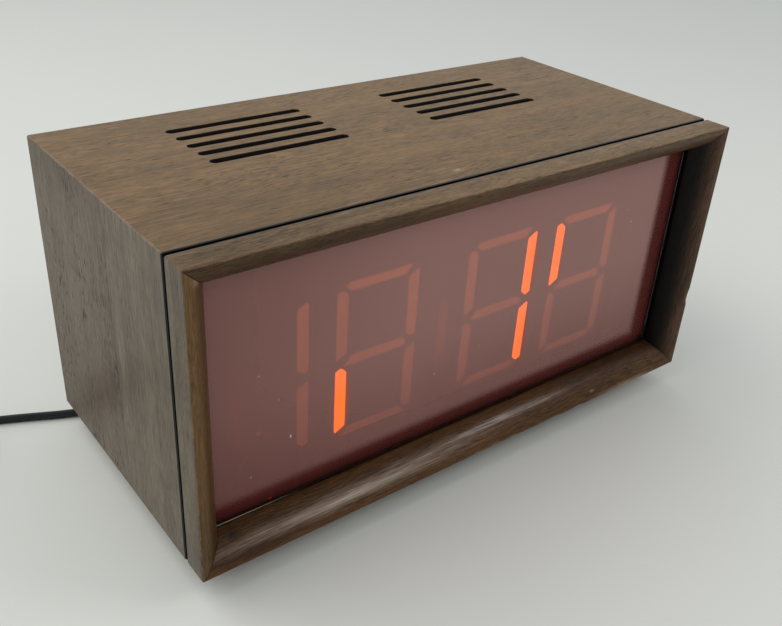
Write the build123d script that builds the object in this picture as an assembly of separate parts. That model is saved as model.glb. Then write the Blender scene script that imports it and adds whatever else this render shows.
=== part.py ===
from build123d import *
import math
import os

# A walnut desk clock with a large lit display. Millimetres, +Z up, the front faces -Y.
# The origin is on the surface that the clock stands on, under the middle of the case and frame.

# Case: four mitred boards
case_width = 366.0
case_height = 172.2
case_depth = 163.2
board = 12.7
case_edge = 0.6

# Vent slots in the top board, in two groups
vent_length = 85.5
vent_width = 6.0
vent_pitch = 12.7
vent_count = 5
vent_rear_inset = 31.0
vent_left_inset = 64.8
vent_right_inset = 70.5

# Front frame: four mitred mouldings
frame_width = 16.0
frame_depth = 16.1
frame_edge_round = 1.0
lip_width = 3.4
lip_drop = 0.7
slope_mid_width = 9.2
slope_mid_depth = 4.6
mitre_gap = 0.12

# Display filter between the frame and the case
filter_thick = 2.8
filter_inset = 4.5

# Pins that line up frame, filter and case
pin_radius = 2.0
pin_in_frame = 7.0
pin_in_case = 9.0
pin_edge_inset = 8.6
pin_spread_x = 240.0
pin_fit = 0.08
pin_end_gap = 0.25
pin_filter_fit = 0.3

# Feet
foot_height = 16.0
foot_top_radius = 12.0
foot_bottom_radius = 10.0
foot_recess_radius = 5.5
foot_recess_depth = 9.0
foot_side_inset = 36.0
foot_front_inset = 40.0
foot_rear_inset = 30.0

# Screws, pins and other repeated small pieces are flat-sided, with this many sides
small_sides = 10

# Screws
screw_radius = 1.8
screw_head_radius = 3.6
screw_head_height = 2.4
screw_slot_width = 0.9
screw_slot_depth = 0.9
screw_length = 15.0
screw_fit = 0.1
screw_tip_gap = 0.4

# Rear panel, let into a rabbet
panel_recess = 10.0
panel_thick = 3.0
rabbet = 5.0
panel_fit = 0.3
panel_vent_length = 60.0
panel_vent_width = 5.0
panel_vent_pitch = 10.0
panel_vent_count = 4
panel_vent_inset = 28.3
panel_vent_rise = 24.0

# Corner blocks inside the case
block_leg = 24.0
block_screw_inset = 8.0
block_length = 60.0

# Digits: seven-bar figures, counted from the left, with the bars that each one has and those that glow
fitted_bars = {0: "bc", 1: "abcdefg", 2: "abcdefg", 3: "abcdefg"}
glowing_letters = {1: "e", 2: "bc", 3: "f"}
digit_height = 93.2
digit_width = 51.6
digit_pitch = 68.0
digit_gap_at_colon = 86.1
last_digit_x = 85.7
digit_drop = 1.05
upright_width = 6.8
level_width = 5.3
middle_width = 5.8
bar_end_drop = 3.5
bar_middle_gap = 2.6
bar_long_cut = 3.3
bar_short_cut = 3.2
bar_nib = 1.4
bar_corner_gap = 5.1
colon_x = -23.2
colon_width = 6.8
colon_height = 39.0
colon_cut = 2.0
pm_x = -139.7
pm_rise = 61.4
pm_radius = 1.6

# Display block behind the filter
mask_thick = 1.6
mask_side_gap = 3.0
mask_end_gap = 3.0
bar_thick = 3.0
bar_fit = 0.12
block_depth = 21.0
block_gap = 1.0
lamp_radius = 2.2
lamp_length = 6.0
lamp_board_thick = 1.6
cleat = 13.0
cleat_screw_rise = 45.0

# Main board and what stands on it
main_board_width = 150.0
main_board_depth = 84.0
main_board_thick = 1.6
main_board_side_gap = 40.3
main_board_rear_gap = 18.0
spacer_height = 8.0
spacer_radius = 3.5
spacer_inset = 6.0
chip_length = 36.0
chip_width = 14.0
chip_height = 4.2
chip_x = -12.0
chip_y = 12.0
capacitor_radius = 9.0
capacitor_length = 30.0
capacitor_x = 58.0
capacitor_y = 20.0
transistor_radius = 2.4
transistor_height = 5.0
transistor_lead = 3.0
transistor_count = 9
transistor_pitch = 12.0
transistor_y = -24.0
resistor_radius = 1.3
resistor_length = 7.0
resistor_count = 9
resistor_y = -16.0
diode_radius = 1.5
diode_length = 6.0
diode_count = 4
diode_pitch = 6.0
diode_x = 36.0
diode_y = 18.0

# Ribbon cable from the main board to the lamp board
ribbon_width = 30.0
ribbon_thick = 0.9
ribbon_board_x = -35.0
ribbon_rise = 48.0
plug_strip_height = 8.0
plug_strip_depth = 5.0
ribbon_bend = 10.0

# Transformer
core_width = 54.0
core_depth = 22.0
core_height = 45.0
core_window_width = 9.0
core_window_height = 27.0
winding_bulge = 7.0
winding_fit = 0.4
strap_thick = 1.2
strap_foot = 10.0
strap_screw_length = 9.5
transformer_side_gap = 4.0
transformer_rear_gap = 46.0

# Push switches on the rear panel
button_inset = 42.3
button_pitch = 24.0
button_rise = 118.0
button_travel = 2.0
button_cap_radius = 4.6
button_cap_height = 4.0
button_stem_radius = 1.9
button_fit = 0.05
bushing_radius = 3.5
bushing_fit = 0.15
bushing_out = 3.2
nut_flats = 10.0
nut_thick = 2.0
switch_body = 12.0
switch_depth = 17.0
collar_radius = 3.0
collar_thick = 2.0
collar_gap = 0.25
collar_side_gap = 0.2
button_rest_gap = 0.3

# Mains lead: flat twin flex, standing on its edge
lead_width = 5.6
lead_thick = 2.8
lead_waist = 1.5
relief_board_gap = 10.0
relief_rise = 20.0
relief_flange_radius = 8.0
relief_flange_thick = 2.0
relief_sleeve = 20.0
relief_neck_radius = 5.5
relief_fit = 0.15
relief_inner = 7.0
relief_end_wall = 1.3
relief_base_thick = 8.4
relief_base_width = 11.0
inner_lead_radius = 2.2
inner_lead_run = 24.0
inner_lead_bend = 8.0

# The put-away coil of the lead, its tie and its plug
coil_radius = 37.5
coil_turn_gap = 0.6
coil_layer_gap = 0.5
coil_lower_half_turns = 6
coil_upper_half_turns = 5
coil_start_run = 6.0
coil_end_run = 22.0
tie_thick = 0.6
tie_width = 9.0
tie_gap = 0.4
plug_length = 30.0
plug_thick = 15.0
plug_nose_length = 12.0
plug_nose_thick = 6.5
plug_nose_width = 8.0
plug_corner = 2.2
plug_step = 0.8
blade_length = 16.0
blade_width = 6.35
blade_thick = 1.5
blade_pitch = 12.7

# Places that follow from the sizes above
total_depth = frame_depth + filter_thick + case_depth
y_front = -total_depth / 2
y_filter = y_front + frame_depth
y_case = y_filter + filter_thick
y_rear = total_depth / 2
z_bottom = foot_height
z_top = z_bottom + case_height
x_side = case_width / 2
z_floor = z_bottom + board
z_ceiling = z_top - board
x_inner = x_side - board
y_panel_out = y_rear - panel_recess
y_panel_in = y_panel_out - panel_thick
digit_z = (z_bottom + z_top) / 2 - digit_drop
y_block = y_case + mask_thick
y_lamp_board = y_block + block_depth
y_cleat = y_lamp_board + lamp_board_thick
coil_low = lead_width / 2 + tie_thick + tie_gap
coil_high = coil_low + lead_width + coil_layer_gap
coil_step = lead_thick + coil_turn_gap

# The lead's route from the strain relief to the coil, as it lies behind the case and off to the left
lead_end_y = y_panel_out + relief_flange_thick + relief_sleeve
relief_z = z_bottom + relief_rise
transformer_reach = core_width / 2 + strap_thick + strap_foot
transformer_x = -x_inner + block_leg + transformer_side_gap + transformer_reach
main_board_x = x_inner - main_board_side_gap - main_board_width / 2
ribbon_x = main_board_x + ribbon_board_x
relief_x = main_board_x - main_board_width / 2 - relief_board_gap
button_x = x_inner - button_inset - button_pitch
panel_vent_x = -x_inner + panel_vent_inset + panel_vent_length / 2
lead_points = [
    (relief_x, lead_end_y, relief_z),
    (relief_x, lead_end_y + 14, relief_z),
    (relief_x - 6, y_rear + 40.8, relief_z - 1),
    (relief_x - 18.4, y_rear + 52.4, relief_z - 3.5),
    (relief_x - 35.8, y_rear + 57.1, relief_z - 7),
    (relief_x - 55.3, y_rear + 52.6, relief_z - 11),
    (-x_side + 75.9, y_rear + 38.4, 20.0),
    (-x_side + 58.5, y_rear + 26.5, 15.5),
    (-x_side + 42, y_rear + 14.5, 11.5),
    (-x_side + 27, y_rear + 6, 8.4),
    (-x_side + 13, y_rear + 1.6, 6.6),
    (-x_side - 1, y_rear + 2.9, 5.3),
    (-x_side - 14, y_rear + 9.6, 4.2),
    (-x_side - 27.5, y_rear + 16.3, 3.4),
    (-x_side - 42, y_rear + 22.6, 3.1),
    (-x_side - 58.5, y_rear + 29.4, coil_low),
    (-x_side - 76, y_rear + 36.4, coil_low),
]


def block(x0, x1, y0, y1, z0, z1):
    """A box between two corners."""
    centre = Pos((x0 + x1) / 2, (y0 + y1) / 2, (z0 + z1) / 2)
    return centre * Box(x1 - x0, y1 - y0, z1 - z0)


def rod_y(x, z, y0, y1, radius):
    """A cylinder along Y."""
    return Pos(x, (y0 + y1) / 2, z) * Rot(90, 0, 0) * Cylinder(radius, y1 - y0)


def rod_z(x, y, z0, z1, radius):
    """A cylinder along Z."""
    return Pos(x, y, (z0 + z1) / 2) * Cylinder(radius, z1 - z0)


def rod_x(x0, x1, y, z, radius):
    """A cylinder along X."""
    return Pos((x0 + x1) / 2, y, z) * Rot(0, 90, 0) * Cylinder(radius, x1 - x0)


def prism(start, axis, length, radius, sides=small_sides):
    """A flat-sided rod: a regular outline pushed along an axis. The flats lie at the radius."""
    face = Plane(origin=start, z_dir=axis) * RegularPolygon(radius, sides, major_radius=False)
    return one(extrude(face, amount=length))


def outline_y(points, y0, y1):
    """A prism along Y over an outline of (x, z) points."""
    face = make_face(Polyline(*[(x, y0, z) for x, z in points], close=True))
    return extrude(face, amount=y1 - y0, dir=(0, 1, 0))


def hollowed(body, cutters):
    """A body with a list of cutters taken out."""
    for cutter in cutters:
        body = body - cutter
    return body


def one(shape):
    """The single solid of a shape that should be one piece."""
    return shape.solids()[0]


def save(name, solids):
    """Writes one sub-part, a solid or a group of separate solids."""
    solids = list(solids)
    shape = solids[0] if len(solids) == 1 else Compound(children=solids)
    shape.label = name
    export_step(shape, "parts/" + name + ".step")


def mitre_outline(width, height, band, side):
    """The (x, z) corners of one member of a mitred rectangle, from outside to inside."""
    x, z0, z1 = width / 2, z_bottom, z_bottom + height
    corners = {
        "bottom": [(-x, z0), (x, z0), (x - band, z0 + band), (-x + band, z0 + band)],
        "top": [(-x, z1), (x, z1), (x - band, z1 - band), (-x + band, z1 - band)],
        "left": [(-x, z0), (-x, z1), (-x + band, z1 - band), (-x + band, z0 + band)],
        "right": [(x, z0), (x, z1), (x - band, z1 - band), (x - band, z0 + band)],
    }
    return corners[side]


def case_envelope():
    """The outside of the case with its edges eased."""
    body = block(-x_side, x_side, y_case, y_rear, z_bottom, z_top)
    return chamfer(body.edges(), case_edge)


def rabbet_space():
    """The room that the rear panel and its recess take out of the boards."""
    return block(
        -x_inner - rabbet, x_inner + rabbet, y_panel_in, y_rear + 1,
        z_floor - rabbet, z_ceiling + rabbet,
    )


def case_board(side, cutters):
    """One mitred board of the case."""
    outline = mitre_outline(case_width, case_height, board, side)
    body = outline_y(outline, y_case, y_rear) & case_envelope()
    return one(hollowed(body, [rabbet_space()] + cutters))


def vent_slots():
    """The two groups of round-ended slots in the top board."""
    slots = []
    left = -x_side + vent_left_inset + vent_length / 2
    right = x_side - vent_right_inset - vent_length / 2
    for x in (left, right):
        for row in range(vent_count):
            y = y_rear - vent_rear_inset - row * vent_pitch
            sketch = Pos(x, y, z_ceiling - 1) * SlotOverall(vent_length, vent_width)
            slots.append(extrude(sketch, amount=board + 2))
    return slots


def foot_places():
    """The centres of the four feet."""
    x = x_side - foot_side_inset
    return [
        (sign * x, y)
        for sign in (-1, 1)
        for y in (y_case + foot_front_inset, y_rear - foot_rear_inset)
    ]


def screw(length):
    """A slotted screw with a crowned head, seated at the origin with its shank up."""
    seat = Plane.XY * RegularPolygon(screw_head_radius, small_sides, major_radius=False)
    crown = Plane((0, 0, -screw_head_height)) * RegularPolygon(
        screw_head_radius * 0.72, small_sides, major_radius=False
    )
    head = loft([crown.face(), seat.face()], ruled=True)
    head = head - Pos(0, 0, -screw_head_height) * Box(
        2 * screw_head_radius + 1, screw_slot_width, 2 * screw_slot_depth
    )
    return one(head + prism((0, 0, 0), (0, 0, 1), length, screw_radius))


def screw_up(x, y, z, length=screw_length):
    """A screw that points up from its seat."""
    return Pos(x, y, z) * screw(length)


def screw_down(x, y, z, length=screw_length):
    """A screw that points down from its seat."""
    return Pos(x, y, z) * Rot(180, 0, 0) * screw(length)


def screw_forward(x, z, y):
    """A screw that points to the front from its seat."""
    return Pos(x, y, z) * Rot(90, 0, 0) * screw(screw_length)


def pilot_z(x, y, z_seat, up=1, length=screw_length):
    """The hole that a screw along Z goes into, from its seat."""
    return prism((x, y, z_seat), (0, 0, up), length + screw_tip_gap, screw_radius + screw_fit)


def pilot_y(x, z, y_seat, length=screw_length):
    """The hole that a screw pointing to the front goes into, from its seat."""
    return prism((x, y_seat, z), (0, -1, 0), length + screw_tip_gap, screw_radius + screw_fit)


def pin_places():
    """The (x, z) centres of the lining-up pins and the side each one is in."""
    low, high = z_bottom + pin_edge_inset, z_top - pin_edge_inset
    middle = (z_bottom + z_top) / 2
    return [
        ("top", -pin_spread_x / 2, high), ("top", pin_spread_x / 2, high),
        ("bottom", -pin_spread_x / 2, low), ("bottom", pin_spread_x / 2, low),
        ("left", -x_side + pin_edge_inset, middle), ("right", x_side - pin_edge_inset, middle),
    ]


def pin_holes(side):
    """The pin holes of one side's frame member and board."""
    start = y_filter - pin_in_frame - pin_end_gap
    length = y_case + pin_in_case + pin_end_gap - start
    return [
        prism((x, start, z), (0, 1, 0), length, pin_radius + pin_fit)
        for where, x, z in pin_places() if where == side
    ]


def foot(x, y):
    """A tapered rubber foot with a counterbored screw hole."""
    body = Pos(x, y, foot_height / 2) * Cone(foot_bottom_radius, foot_top_radius, foot_height)
    body = body - prism((x, y, -1), (0, 0, 1), foot_recess_depth + 1, foot_recess_radius)
    body = body - pilot_z(x, y, foot_recess_depth)
    return one(body)


def cleat_screw_places():
    """The (x, z) centres of the screws that hold the display."""
    x = x_inner - cleat / 2
    middle = (z_floor + z_ceiling) / 2
    return [(sign * x, middle + rise) for sign in (-1, 1) for rise in (-cleat_screw_rise, cleat_screw_rise)]


def corner_places():
    """The four inner corners of the case and the way each corner block points."""
    return [
        (sx * x_inner, z, -sx, sz)
        for sx in (-1, 1)
        for z, sz in ((z_floor, 1), (z_ceiling, -1))
    ]


def corner_block(x, z, dx, dz):
    """A three-cornered glue block in an inner corner, drilled for a rear screw."""
    outline = [(x, z), (x + dx * block_leg, z), (x, z + dz * block_leg)]
    body = outline_y(outline, y_panel_in - block_length, y_panel_in)
    inset = block_screw_inset
    return one(body - pilot_y(x + dx * inset, z + dz * inset, y_panel_out))


def make_case():
    """The case boards, corner blocks, feet and their screws."""
    foot_pilots = [pilot_z(x, y, foot_recess_depth) for x, y in foot_places()]
    board_pilots = foot_pilots + spacer_pilots() + strap_pilots()
    save("case_top", [case_board("top", vent_slots() + pin_holes("top"))])
    save("case_bottom", [case_board("bottom", board_pilots + pin_holes("bottom"))])
    save("case_left_side", [case_board("left", pin_holes("left"))])
    save("case_right_side", [case_board("right", pin_holes("right"))])
    save("corner_blocks", [corner_block(*place) for place in corner_places()])
    save("feet", [foot(x, y) for x, y in foot_places()])
    save("foot_screws", [screw_up(x, y, foot_recess_depth) for x, y in foot_places()])


def moulding_section():
    """The frame moulding's section as (inwards, backwards) edges: lip, rounded slope and back."""
    quarter = frame_edge_round * (1 - math.sqrt(0.5))
    start = (0, frame_edge_round)
    middle = (quarter, quarter)
    lip = (frame_edge_round, 0)
    slope = (lip_width, lip_drop)
    slope_middle = (slope_mid_width, slope_mid_depth)
    inner = (frame_width, frame_depth)
    back = (0, frame_depth)
    return start, middle, lip, slope, slope_middle, inner, back


def moulding_face(place):
    """The section as a face, with place giving each point's position in space."""
    start, middle, lip, slope, slope_middle, inner, back = map(place, moulding_section())
    edges = [
        ThreePointArc(start, middle, lip),
        Line(lip, slope),
        ThreePointArc(slope, slope_middle, inner),
        Line(inner, back),
        Line(back, start),
    ]
    return make_face(Wire([edge.edge() for edge in edges]))


def frame_envelope():
    """The outside of the frame with its four corner edges eased."""
    body = block(-x_side, x_side, y_front, y_filter, z_bottom, z_top)
    return fillet(body.edges().filter_by(Axis.Y), frame_edge_round)


def frame_member(side):
    """One mitred moulding of the front frame."""
    if side in ("top", "bottom"):
        z_edge, inward = (z_bottom, 1) if side == "bottom" else (z_top, -1)
        face = moulding_face(lambda p: (-x_side, y_front + p[1], z_edge + inward * p[0]))
        body = extrude(face, amount=case_width, dir=(1, 0, 0))
        shift = Pos(0, 0, -inward * mitre_gap)
    else:
        x_edge, inward = (-x_side, 1) if side == "left" else (x_side, -1)
        face = moulding_face(lambda p: (x_edge + inward * p[0], y_front + p[1], z_bottom))
        body = extrude(face, amount=case_height, dir=(0, 0, 1))
        shift = Pos(0, 0, 0)
    reach = frame_width + 2 * mitre_gap
    outline = mitre_outline(case_width, case_height, reach, side)
    keep = shift * outline_y(outline, y_front - 1, y_filter + 1)
    return one(hollowed(body & keep & frame_envelope(), pin_holes(side)))


def make_frame():
    """The front frame, the filter behind it and the pins."""
    save("frame_top_rail", [frame_member("top")])
    save("frame_bottom_rail", [frame_member("bottom")])
    save("frame_left_stile", [frame_member("left")])
    save("frame_right_stile", [frame_member("right")])
    inset = filter_inset
    sheet = block(
        -x_side + inset, x_side - inset, y_filter, y_case, z_bottom + inset, z_top - inset
    )
    holes = [
        prism((x, y_filter - 1, z), (0, 1, 0), filter_thick + 2, pin_radius + pin_filter_fit)
        for _, x, z in pin_places()
    ]
    save("display_filter", [one(hollowed(sheet, holes))])
    pins = [
        prism((x, y_filter - pin_in_frame, z), (0, 1, 0), pin_in_frame + filter_thick + pin_in_case, pin_radius)
        for _, x, z in pin_places()
    ]
    save("frame_pins", pins)


def right_upright():
    """The outline of an upper right bar, about the digit's centre."""
    outer = digit_width / 2
    inner = outer - upright_width
    top = digit_height / 2 - bar_end_drop
    bottom = bar_middle_gap
    return [
        (inner, bottom + bar_short_cut), (inner, top - bar_long_cut), (outer - 0.8, top),
        (outer, top - bar_nib), (outer, bottom + bar_nib), ((inner + outer) / 2, bottom),
    ]


def turned(points, x, z):
    """An outline turned half round about a point."""
    return [(2 * x - px, 2 * z - pz) for px, pz in points]


def moved(points, x, z):
    """An outline moved by x and z."""
    return [(px + x, pz + z) for px, pz in points]


def bar_outlines():
    """The seven bars of a digit by their usual letters, about the digit's centre."""
    high = digit_height / 2
    top = high - bar_end_drop
    drop = -(top + bar_middle_gap)
    right = right_upright()
    left = turned(right, 0, (top + bar_middle_gap) / 2)
    end = digit_width / 2 - bar_corner_gap
    upper = [
        (-end, high - level_width * 0.35), (-end + 2.2, high), (end + 0.7, high),
        (end - 3.6, high - level_width), (-end + 3.6, high - level_width),
    ]
    half = middle_width / 2
    middle = [
        (-end, -half * 0.6), (-end + 4.9, half + 0.7), (end - 4.2, half + 0.7),
        (end - 0.9, 0.0), (end - 3.0, -half + 0.7), (-end + 1.4, -half + 0.7),
    ]
    return {
        "a": upper, "b": right, "c": moved(right, 0, drop), "d": turned(upper, 0, 0),
        "e": moved(left, 0, drop), "f": left, "g": middle,
    }


def digit_centres():
    """The middle of each digit across the clock, from left to right."""
    third = last_digit_x - digit_pitch
    second = third - digit_gap_at_colon
    return [second - digit_pitch, second, third, last_digit_x]


def colon_outline():
    """The outline of the upright bar between hours and minutes."""
    x, z = colon_width / 2, colon_height / 2
    points = [(-x, -z + colon_cut), (-x, z - colon_cut), (0, z), (x, z - colon_cut), (x, -z + colon_cut), (0, -z)]
    return moved(points, colon_x, digit_z)


def digit_bars(index, letters):
    """The placed outlines of some bars of one digit."""
    bars = bar_outlines()
    return [moved(bars[letter], digit_centres()[index], digit_z) for letter in letters]


def all_bars():
    """Every bar that the display has, the colon's too."""
    bars = [outline for index, letters in fitted_bars.items() for outline in digit_bars(index, letters)]
    return bars + [colon_outline()]


def bar_solids(outlines):
    """Solid diffuser bars, flush with the mask's front."""
    return [one(outline_y(points, y_case, y_case + bar_thick)) for points in outlines]


def bar_openings(y0, y1):
    """Cutters for every bar and the PM lens, eased all round."""
    cutters = []
    for points in all_bars():
        face = make_face(Polyline(*[(x, y0, z) for x, z in points], close=True))
        eased = offset(face, amount=bar_fit, kind=Kind.INTERSECTION)
        cutters.append(extrude(eased, amount=y1 - y0, dir=(0, 1, 0)))
    cutters.append(rod_y(pm_x, z_bottom + pm_rise, y0, y1, pm_radius + bar_fit))
    return cutters


def display_plate(y0, y1):
    """A plate the size of the display block."""
    return block(
        -x_inner + mask_side_gap, x_inner - mask_side_gap, y0, y1,
        z_floor + mask_end_gap, z_ceiling - mask_end_gap,
    )


def lamp_places():
    """The (x, z) middle of each bar, where its lamp stands."""
    places = [
        (sum(p[0] for p in points) / len(points), sum(p[1] for p in points) / len(points))
        for points in all_bars()
    ]
    return places


def make_display():
    """The mask, its bars, the block of light wells, the lamp board and its cleats."""
    plate = Compound(children=[one(c) for c in bar_openings(y_case - 1, y_lamp_board + 1)])
    holes = [pilot_y(x, z, y_cleat + cleat) for x, z in cleat_screw_places()]
    save("display_mask", [one(display_plate(y_case, y_block) - plate)])
    save("light_block", [one(hollowed(display_plate(y_block, y_lamp_board) - plate, holes))])
    for index, letters in fitted_bars.items():
        dark = "".join(c for c in letters if c not in glowing_letters.get(index, ""))
        save(f"digit_{index + 1}_bars", bar_solids(digit_bars(index, dark)))
    lit = [outline for index, letters in glowing_letters.items() for outline in digit_bars(index, letters)]
    save("glowing_bars", bar_solids(lit))
    save("colon_bar", bar_solids([colon_outline()]))
    save("pm_lens", [one(rod_y(pm_x, z_bottom + pm_rise, y_case, y_case + bar_thick, pm_radius))])
    board_plate = display_plate(y_lamp_board, y_cleat)
    save("lamp_board", [one(hollowed(board_plate, holes))])
    lamps = [prism((x, y_lamp_board, z), (0, -1, 0), lamp_length, lamp_radius, 6) for x, z in lamp_places()]
    save("lamps", lamps)
    cleats = []
    for sign in (-1, 1):
        x0, x1 = sorted((sign * x_inner, sign * (x_inner - cleat)))
        cleats.append(one(hollowed(block(x0, x1, y_cleat, y_cleat + cleat, z_floor, z_ceiling), holes)))
    save("display_cleats", cleats)
    save("display_screws", [screw_forward(x, z, y_cleat + cleat) for x, z in cleat_screw_places()])


def board_middle():
    """The middle of the main board and the height of its underside."""
    y = y_panel_in - main_board_rear_gap - main_board_depth / 2
    return main_board_x, y, z_floor + spacer_height


def spacer_places():
    """The four corners where the main board is held."""
    x, y, _ = board_middle()
    dx, dy = main_board_width / 2 - spacer_inset, main_board_depth / 2 - spacer_inset
    return [(x + sx * dx, y + sy * dy) for sx in (-1, 1) for sy in (-1, 1)]


def board_screw_seat():
    """The height of the main board's top face."""
    return z_floor + spacer_height + main_board_thick


def spacer_pilots():
    """Holes for the main board's screws."""
    return [pilot_z(x, y, board_screw_seat(), -1) for x, y in spacer_places()]


def make_main_board():
    """The main board, its spacers and screws, and the larger components on it."""
    x, y, z = board_middle()
    top = board_screw_seat()
    pilots = spacer_pilots()
    sheet = block(
        x - main_board_width / 2, x + main_board_width / 2,
        y - main_board_depth / 2, y + main_board_depth / 2, z, top,
    )
    save("main_board", [one(hollowed(sheet, pilots))])
    spacers = [
        one(prism((sx, sy, z_floor), (0, 0, 1), spacer_height, spacer_radius, 6) - pilot)
        for (sx, sy), pilot in zip(spacer_places(), pilots)
    ]
    save("board_spacers", spacers)
    save("board_screws", [screw_down(sx, sy, top) for sx, sy in spacer_places()])
    save("clock_chip", [clock_chip(x + chip_x, y + chip_y, top)])
    cap = rod_x(
        x + capacitor_x - capacitor_length / 2, x + capacitor_x + capacitor_length / 2,
        y + capacitor_y, top + capacitor_radius, capacitor_radius,
    )
    save("smoothing_capacitor", [one(cap)])
    first = x - transistor_pitch * (transistor_count - 1) / 2
    transistors = [transistor(first + i * transistor_pitch, y + transistor_y, top) for i in range(transistor_count)]
    save("driver_transistors", transistors)
    resistors = [
        prism((first + i * transistor_pitch, y + resistor_y, top + six_sided_reach(resistor_radius)), (0, 1, 0),
              resistor_length, resistor_radius, 6)
        for i in range(resistor_count)
    ]
    save("resistors", resistors)
    diodes = [
        prism((x + diode_x, y + diode_y + (i - 1.5) * diode_pitch, top + six_sided_reach(diode_radius)), (1, 0, 0),
              diode_length, diode_radius, 6)
        for i in range(diode_count)
    ]
    save("rectifier_diodes", diodes)


def six_sided_reach(radius):
    """How far a six-sided prism reaches at its corners."""
    return radius / math.cos(math.pi / 6)


def clock_chip(x, y, z):
    """A many-legged chip in its socket, with a notch in one end."""
    body = block(x - chip_length / 2, x + chip_length / 2, y - chip_width / 2, y + chip_width / 2, z, z + chip_height)
    notch = rod_z(x - chip_length / 2, y, z + chip_height - 0.8, z + chip_height + 1, 1.5)
    return one(body - notch)


def transistor(x, y, z):
    """A small transistor: a flat-backed cap on its legs."""
    r = transistor_radius
    outline = [(x - r, y + r * 0.5), (x - r, y - r * 0.3), (x - r * 0.5, y - r), (x + r * 0.5, y - r),
               (x + r, y - r * 0.3), (x + r, y + r * 0.5)]
    low = z + transistor_lead
    face = make_face(Polyline(*[(px, py, low) for px, py in outline], close=True))
    legs = block(x - 1.6, x + 1.6, y - 0.3, y + 0.3, z, low)
    return one(extrude(face, amount=transistor_height, dir=(0, 0, 1)) + legs)


def ribbon_strip(y0, y1, z0, z1):
    """A connector strip as wide as the ribbon."""
    return one(block(ribbon_x - ribbon_width / 2, ribbon_x + ribbon_width / 2, y0, y1, z0, z1))


def make_ribbon():
    """The ribbon cable and the two strips it plugs into."""
    _, y, _ = board_middle()
    top = board_screw_seat()
    y_front_edge = y - main_board_depth / 2 + 8
    z_strip = z_floor + ribbon_rise
    save("ribbon_sockets", [
        ribbon_strip(y_cleat, y_cleat + plug_strip_height, z_strip - plug_strip_depth / 2, z_strip + plug_strip_depth / 2),
        ribbon_strip(y_front_edge - plug_strip_depth / 2, y_front_edge + plug_strip_depth / 2, top, top + plug_strip_height),
    ])
    start = (ribbon_x, y_cleat + plug_strip_height, z_strip)
    corner = (ribbon_x, y_front_edge, z_strip)
    end = (ribbon_x, y_front_edge, top + plug_strip_height)
    path = FilletPolyline(start, corner, end, radius=ribbon_bend)
    section = Plane(origin=start, x_dir=(1, 0, 0), z_dir=(0, 1, 0)) * Rectangle(ribbon_width, ribbon_thick)
    save("ribbon_cable", [one(sweep(section, path=path.wire()))])


def transformer_middle():
    """The middle of the transformer on the case floor."""
    return transformer_x, y_panel_in - transformer_rear_gap


def strap_screw_places():
    """The two screws that hold the transformer's strap."""
    x, y = transformer_middle()
    dx = core_width / 2 + strap_thick + strap_foot / 2
    return [(x - dx, y), (x + dx, y)]


def strap_pilots():
    """Holes for the strap's screws."""
    return [pilot_z(x, y, z_floor + strap_thick, -1, strap_screw_length) for x, y in strap_screw_places()]


def make_transformer():
    """Transformer core, winding, strap and screws."""
    x, y = transformer_middle()
    z0, z1 = z_floor, z_floor + core_height
    core = block(x - core_width / 2, x + core_width / 2, y - core_depth / 2, y + core_depth / 2, z0, z1)
    middle_z = (z0 + z1) / 2
    limb = core_width / 2 - 2 * core_window_width
    windows = []
    for sign in (-1, 1):
        xa, xb = sorted((x + sign * limb / 1.0, x + sign * (limb + core_window_width)))
        windows.append(block(
            xa, xb, y - core_depth, y + core_depth,
            middle_z - core_window_height / 2, middle_z + core_window_height / 2,
        ))
    save("transformer_core", [one(hollowed(core, windows))])
    gap = winding_fit
    outer = block(
        x - limb - core_window_width + gap, x + limb + core_window_width - gap,
        y - core_depth / 2 - winding_bulge, y + core_depth / 2 + winding_bulge,
        middle_z - core_window_height / 2 + gap, middle_z + core_window_height / 2 - gap,
    )
    outer = chamfer(outer.edges().filter_by(Axis.Z), winding_bulge * 0.4)
    bore = block(
        x - limb - gap, x + limb + gap, y - core_depth / 2 - gap, y + core_depth / 2 + gap,
        z0, z1,
    )
    save("transformer_winding", [one(outer - bore)])
    save("transformer_strap", [transformer_strap(x, y, z1)])
    screws = [screw_down(sx, sy, z_floor + strap_thick, strap_screw_length) for sx, sy in strap_screw_places()]
    save("transformer_screws", screws)


def transformer_strap(x, y, z_core):
    """A bent steel strap over the core with a foot each side."""
    half = core_width / 2
    reach = half + strap_thick + strap_foot
    width = core_depth * 0.8
    over = block(x - half - strap_thick, x + half + strap_thick, y - width / 2, y + width / 2, z_floor, z_core + strap_thick)
    inside = block(x - half, x + half, y - width, y + width, z_floor - 1, z_core)
    feet = block(x - reach, x + reach, y - width / 2, y + width / 2, z_floor, z_floor + strap_thick)
    feet = feet - block(x - half, x + half, y - width, y + width, z_floor - 1, z_core)
    body = (over - inside) + feet
    return one(hollowed(body, strap_pilots()))


def button_places():
    """The (x, z) centres of the fast-set and slow-set buttons."""
    z = z_bottom + button_rise
    return {"fast_set_button": (button_x, z), "slow_set_button": (button_x + button_pitch, z)}


def switch_shell(x, z):
    """A switch: a square body behind the panel and a round bushing through it, bored for the button."""
    body = block(
        x - switch_body / 2, x + switch_body / 2, y_panel_in - switch_depth, y_panel_in,
        z - switch_body / 2, z + switch_body / 2,
    )
    bushing = rod_y(x, z, y_panel_in, y_panel_out + bushing_out, bushing_radius)
    reach = collar_gap + collar_thick + button_travel + button_rest_gap + 1
    half = collar_radius + collar_side_gap
    well = block(x - half, x + half, y_panel_in - reach, y_panel_in, z - half, z + half)
    bore = rod_y(x, z, y_panel_in - 0.5, y_panel_out + bushing_out + 1, button_stem_radius + button_fit)
    return one((body + bushing) - well - bore)


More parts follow.
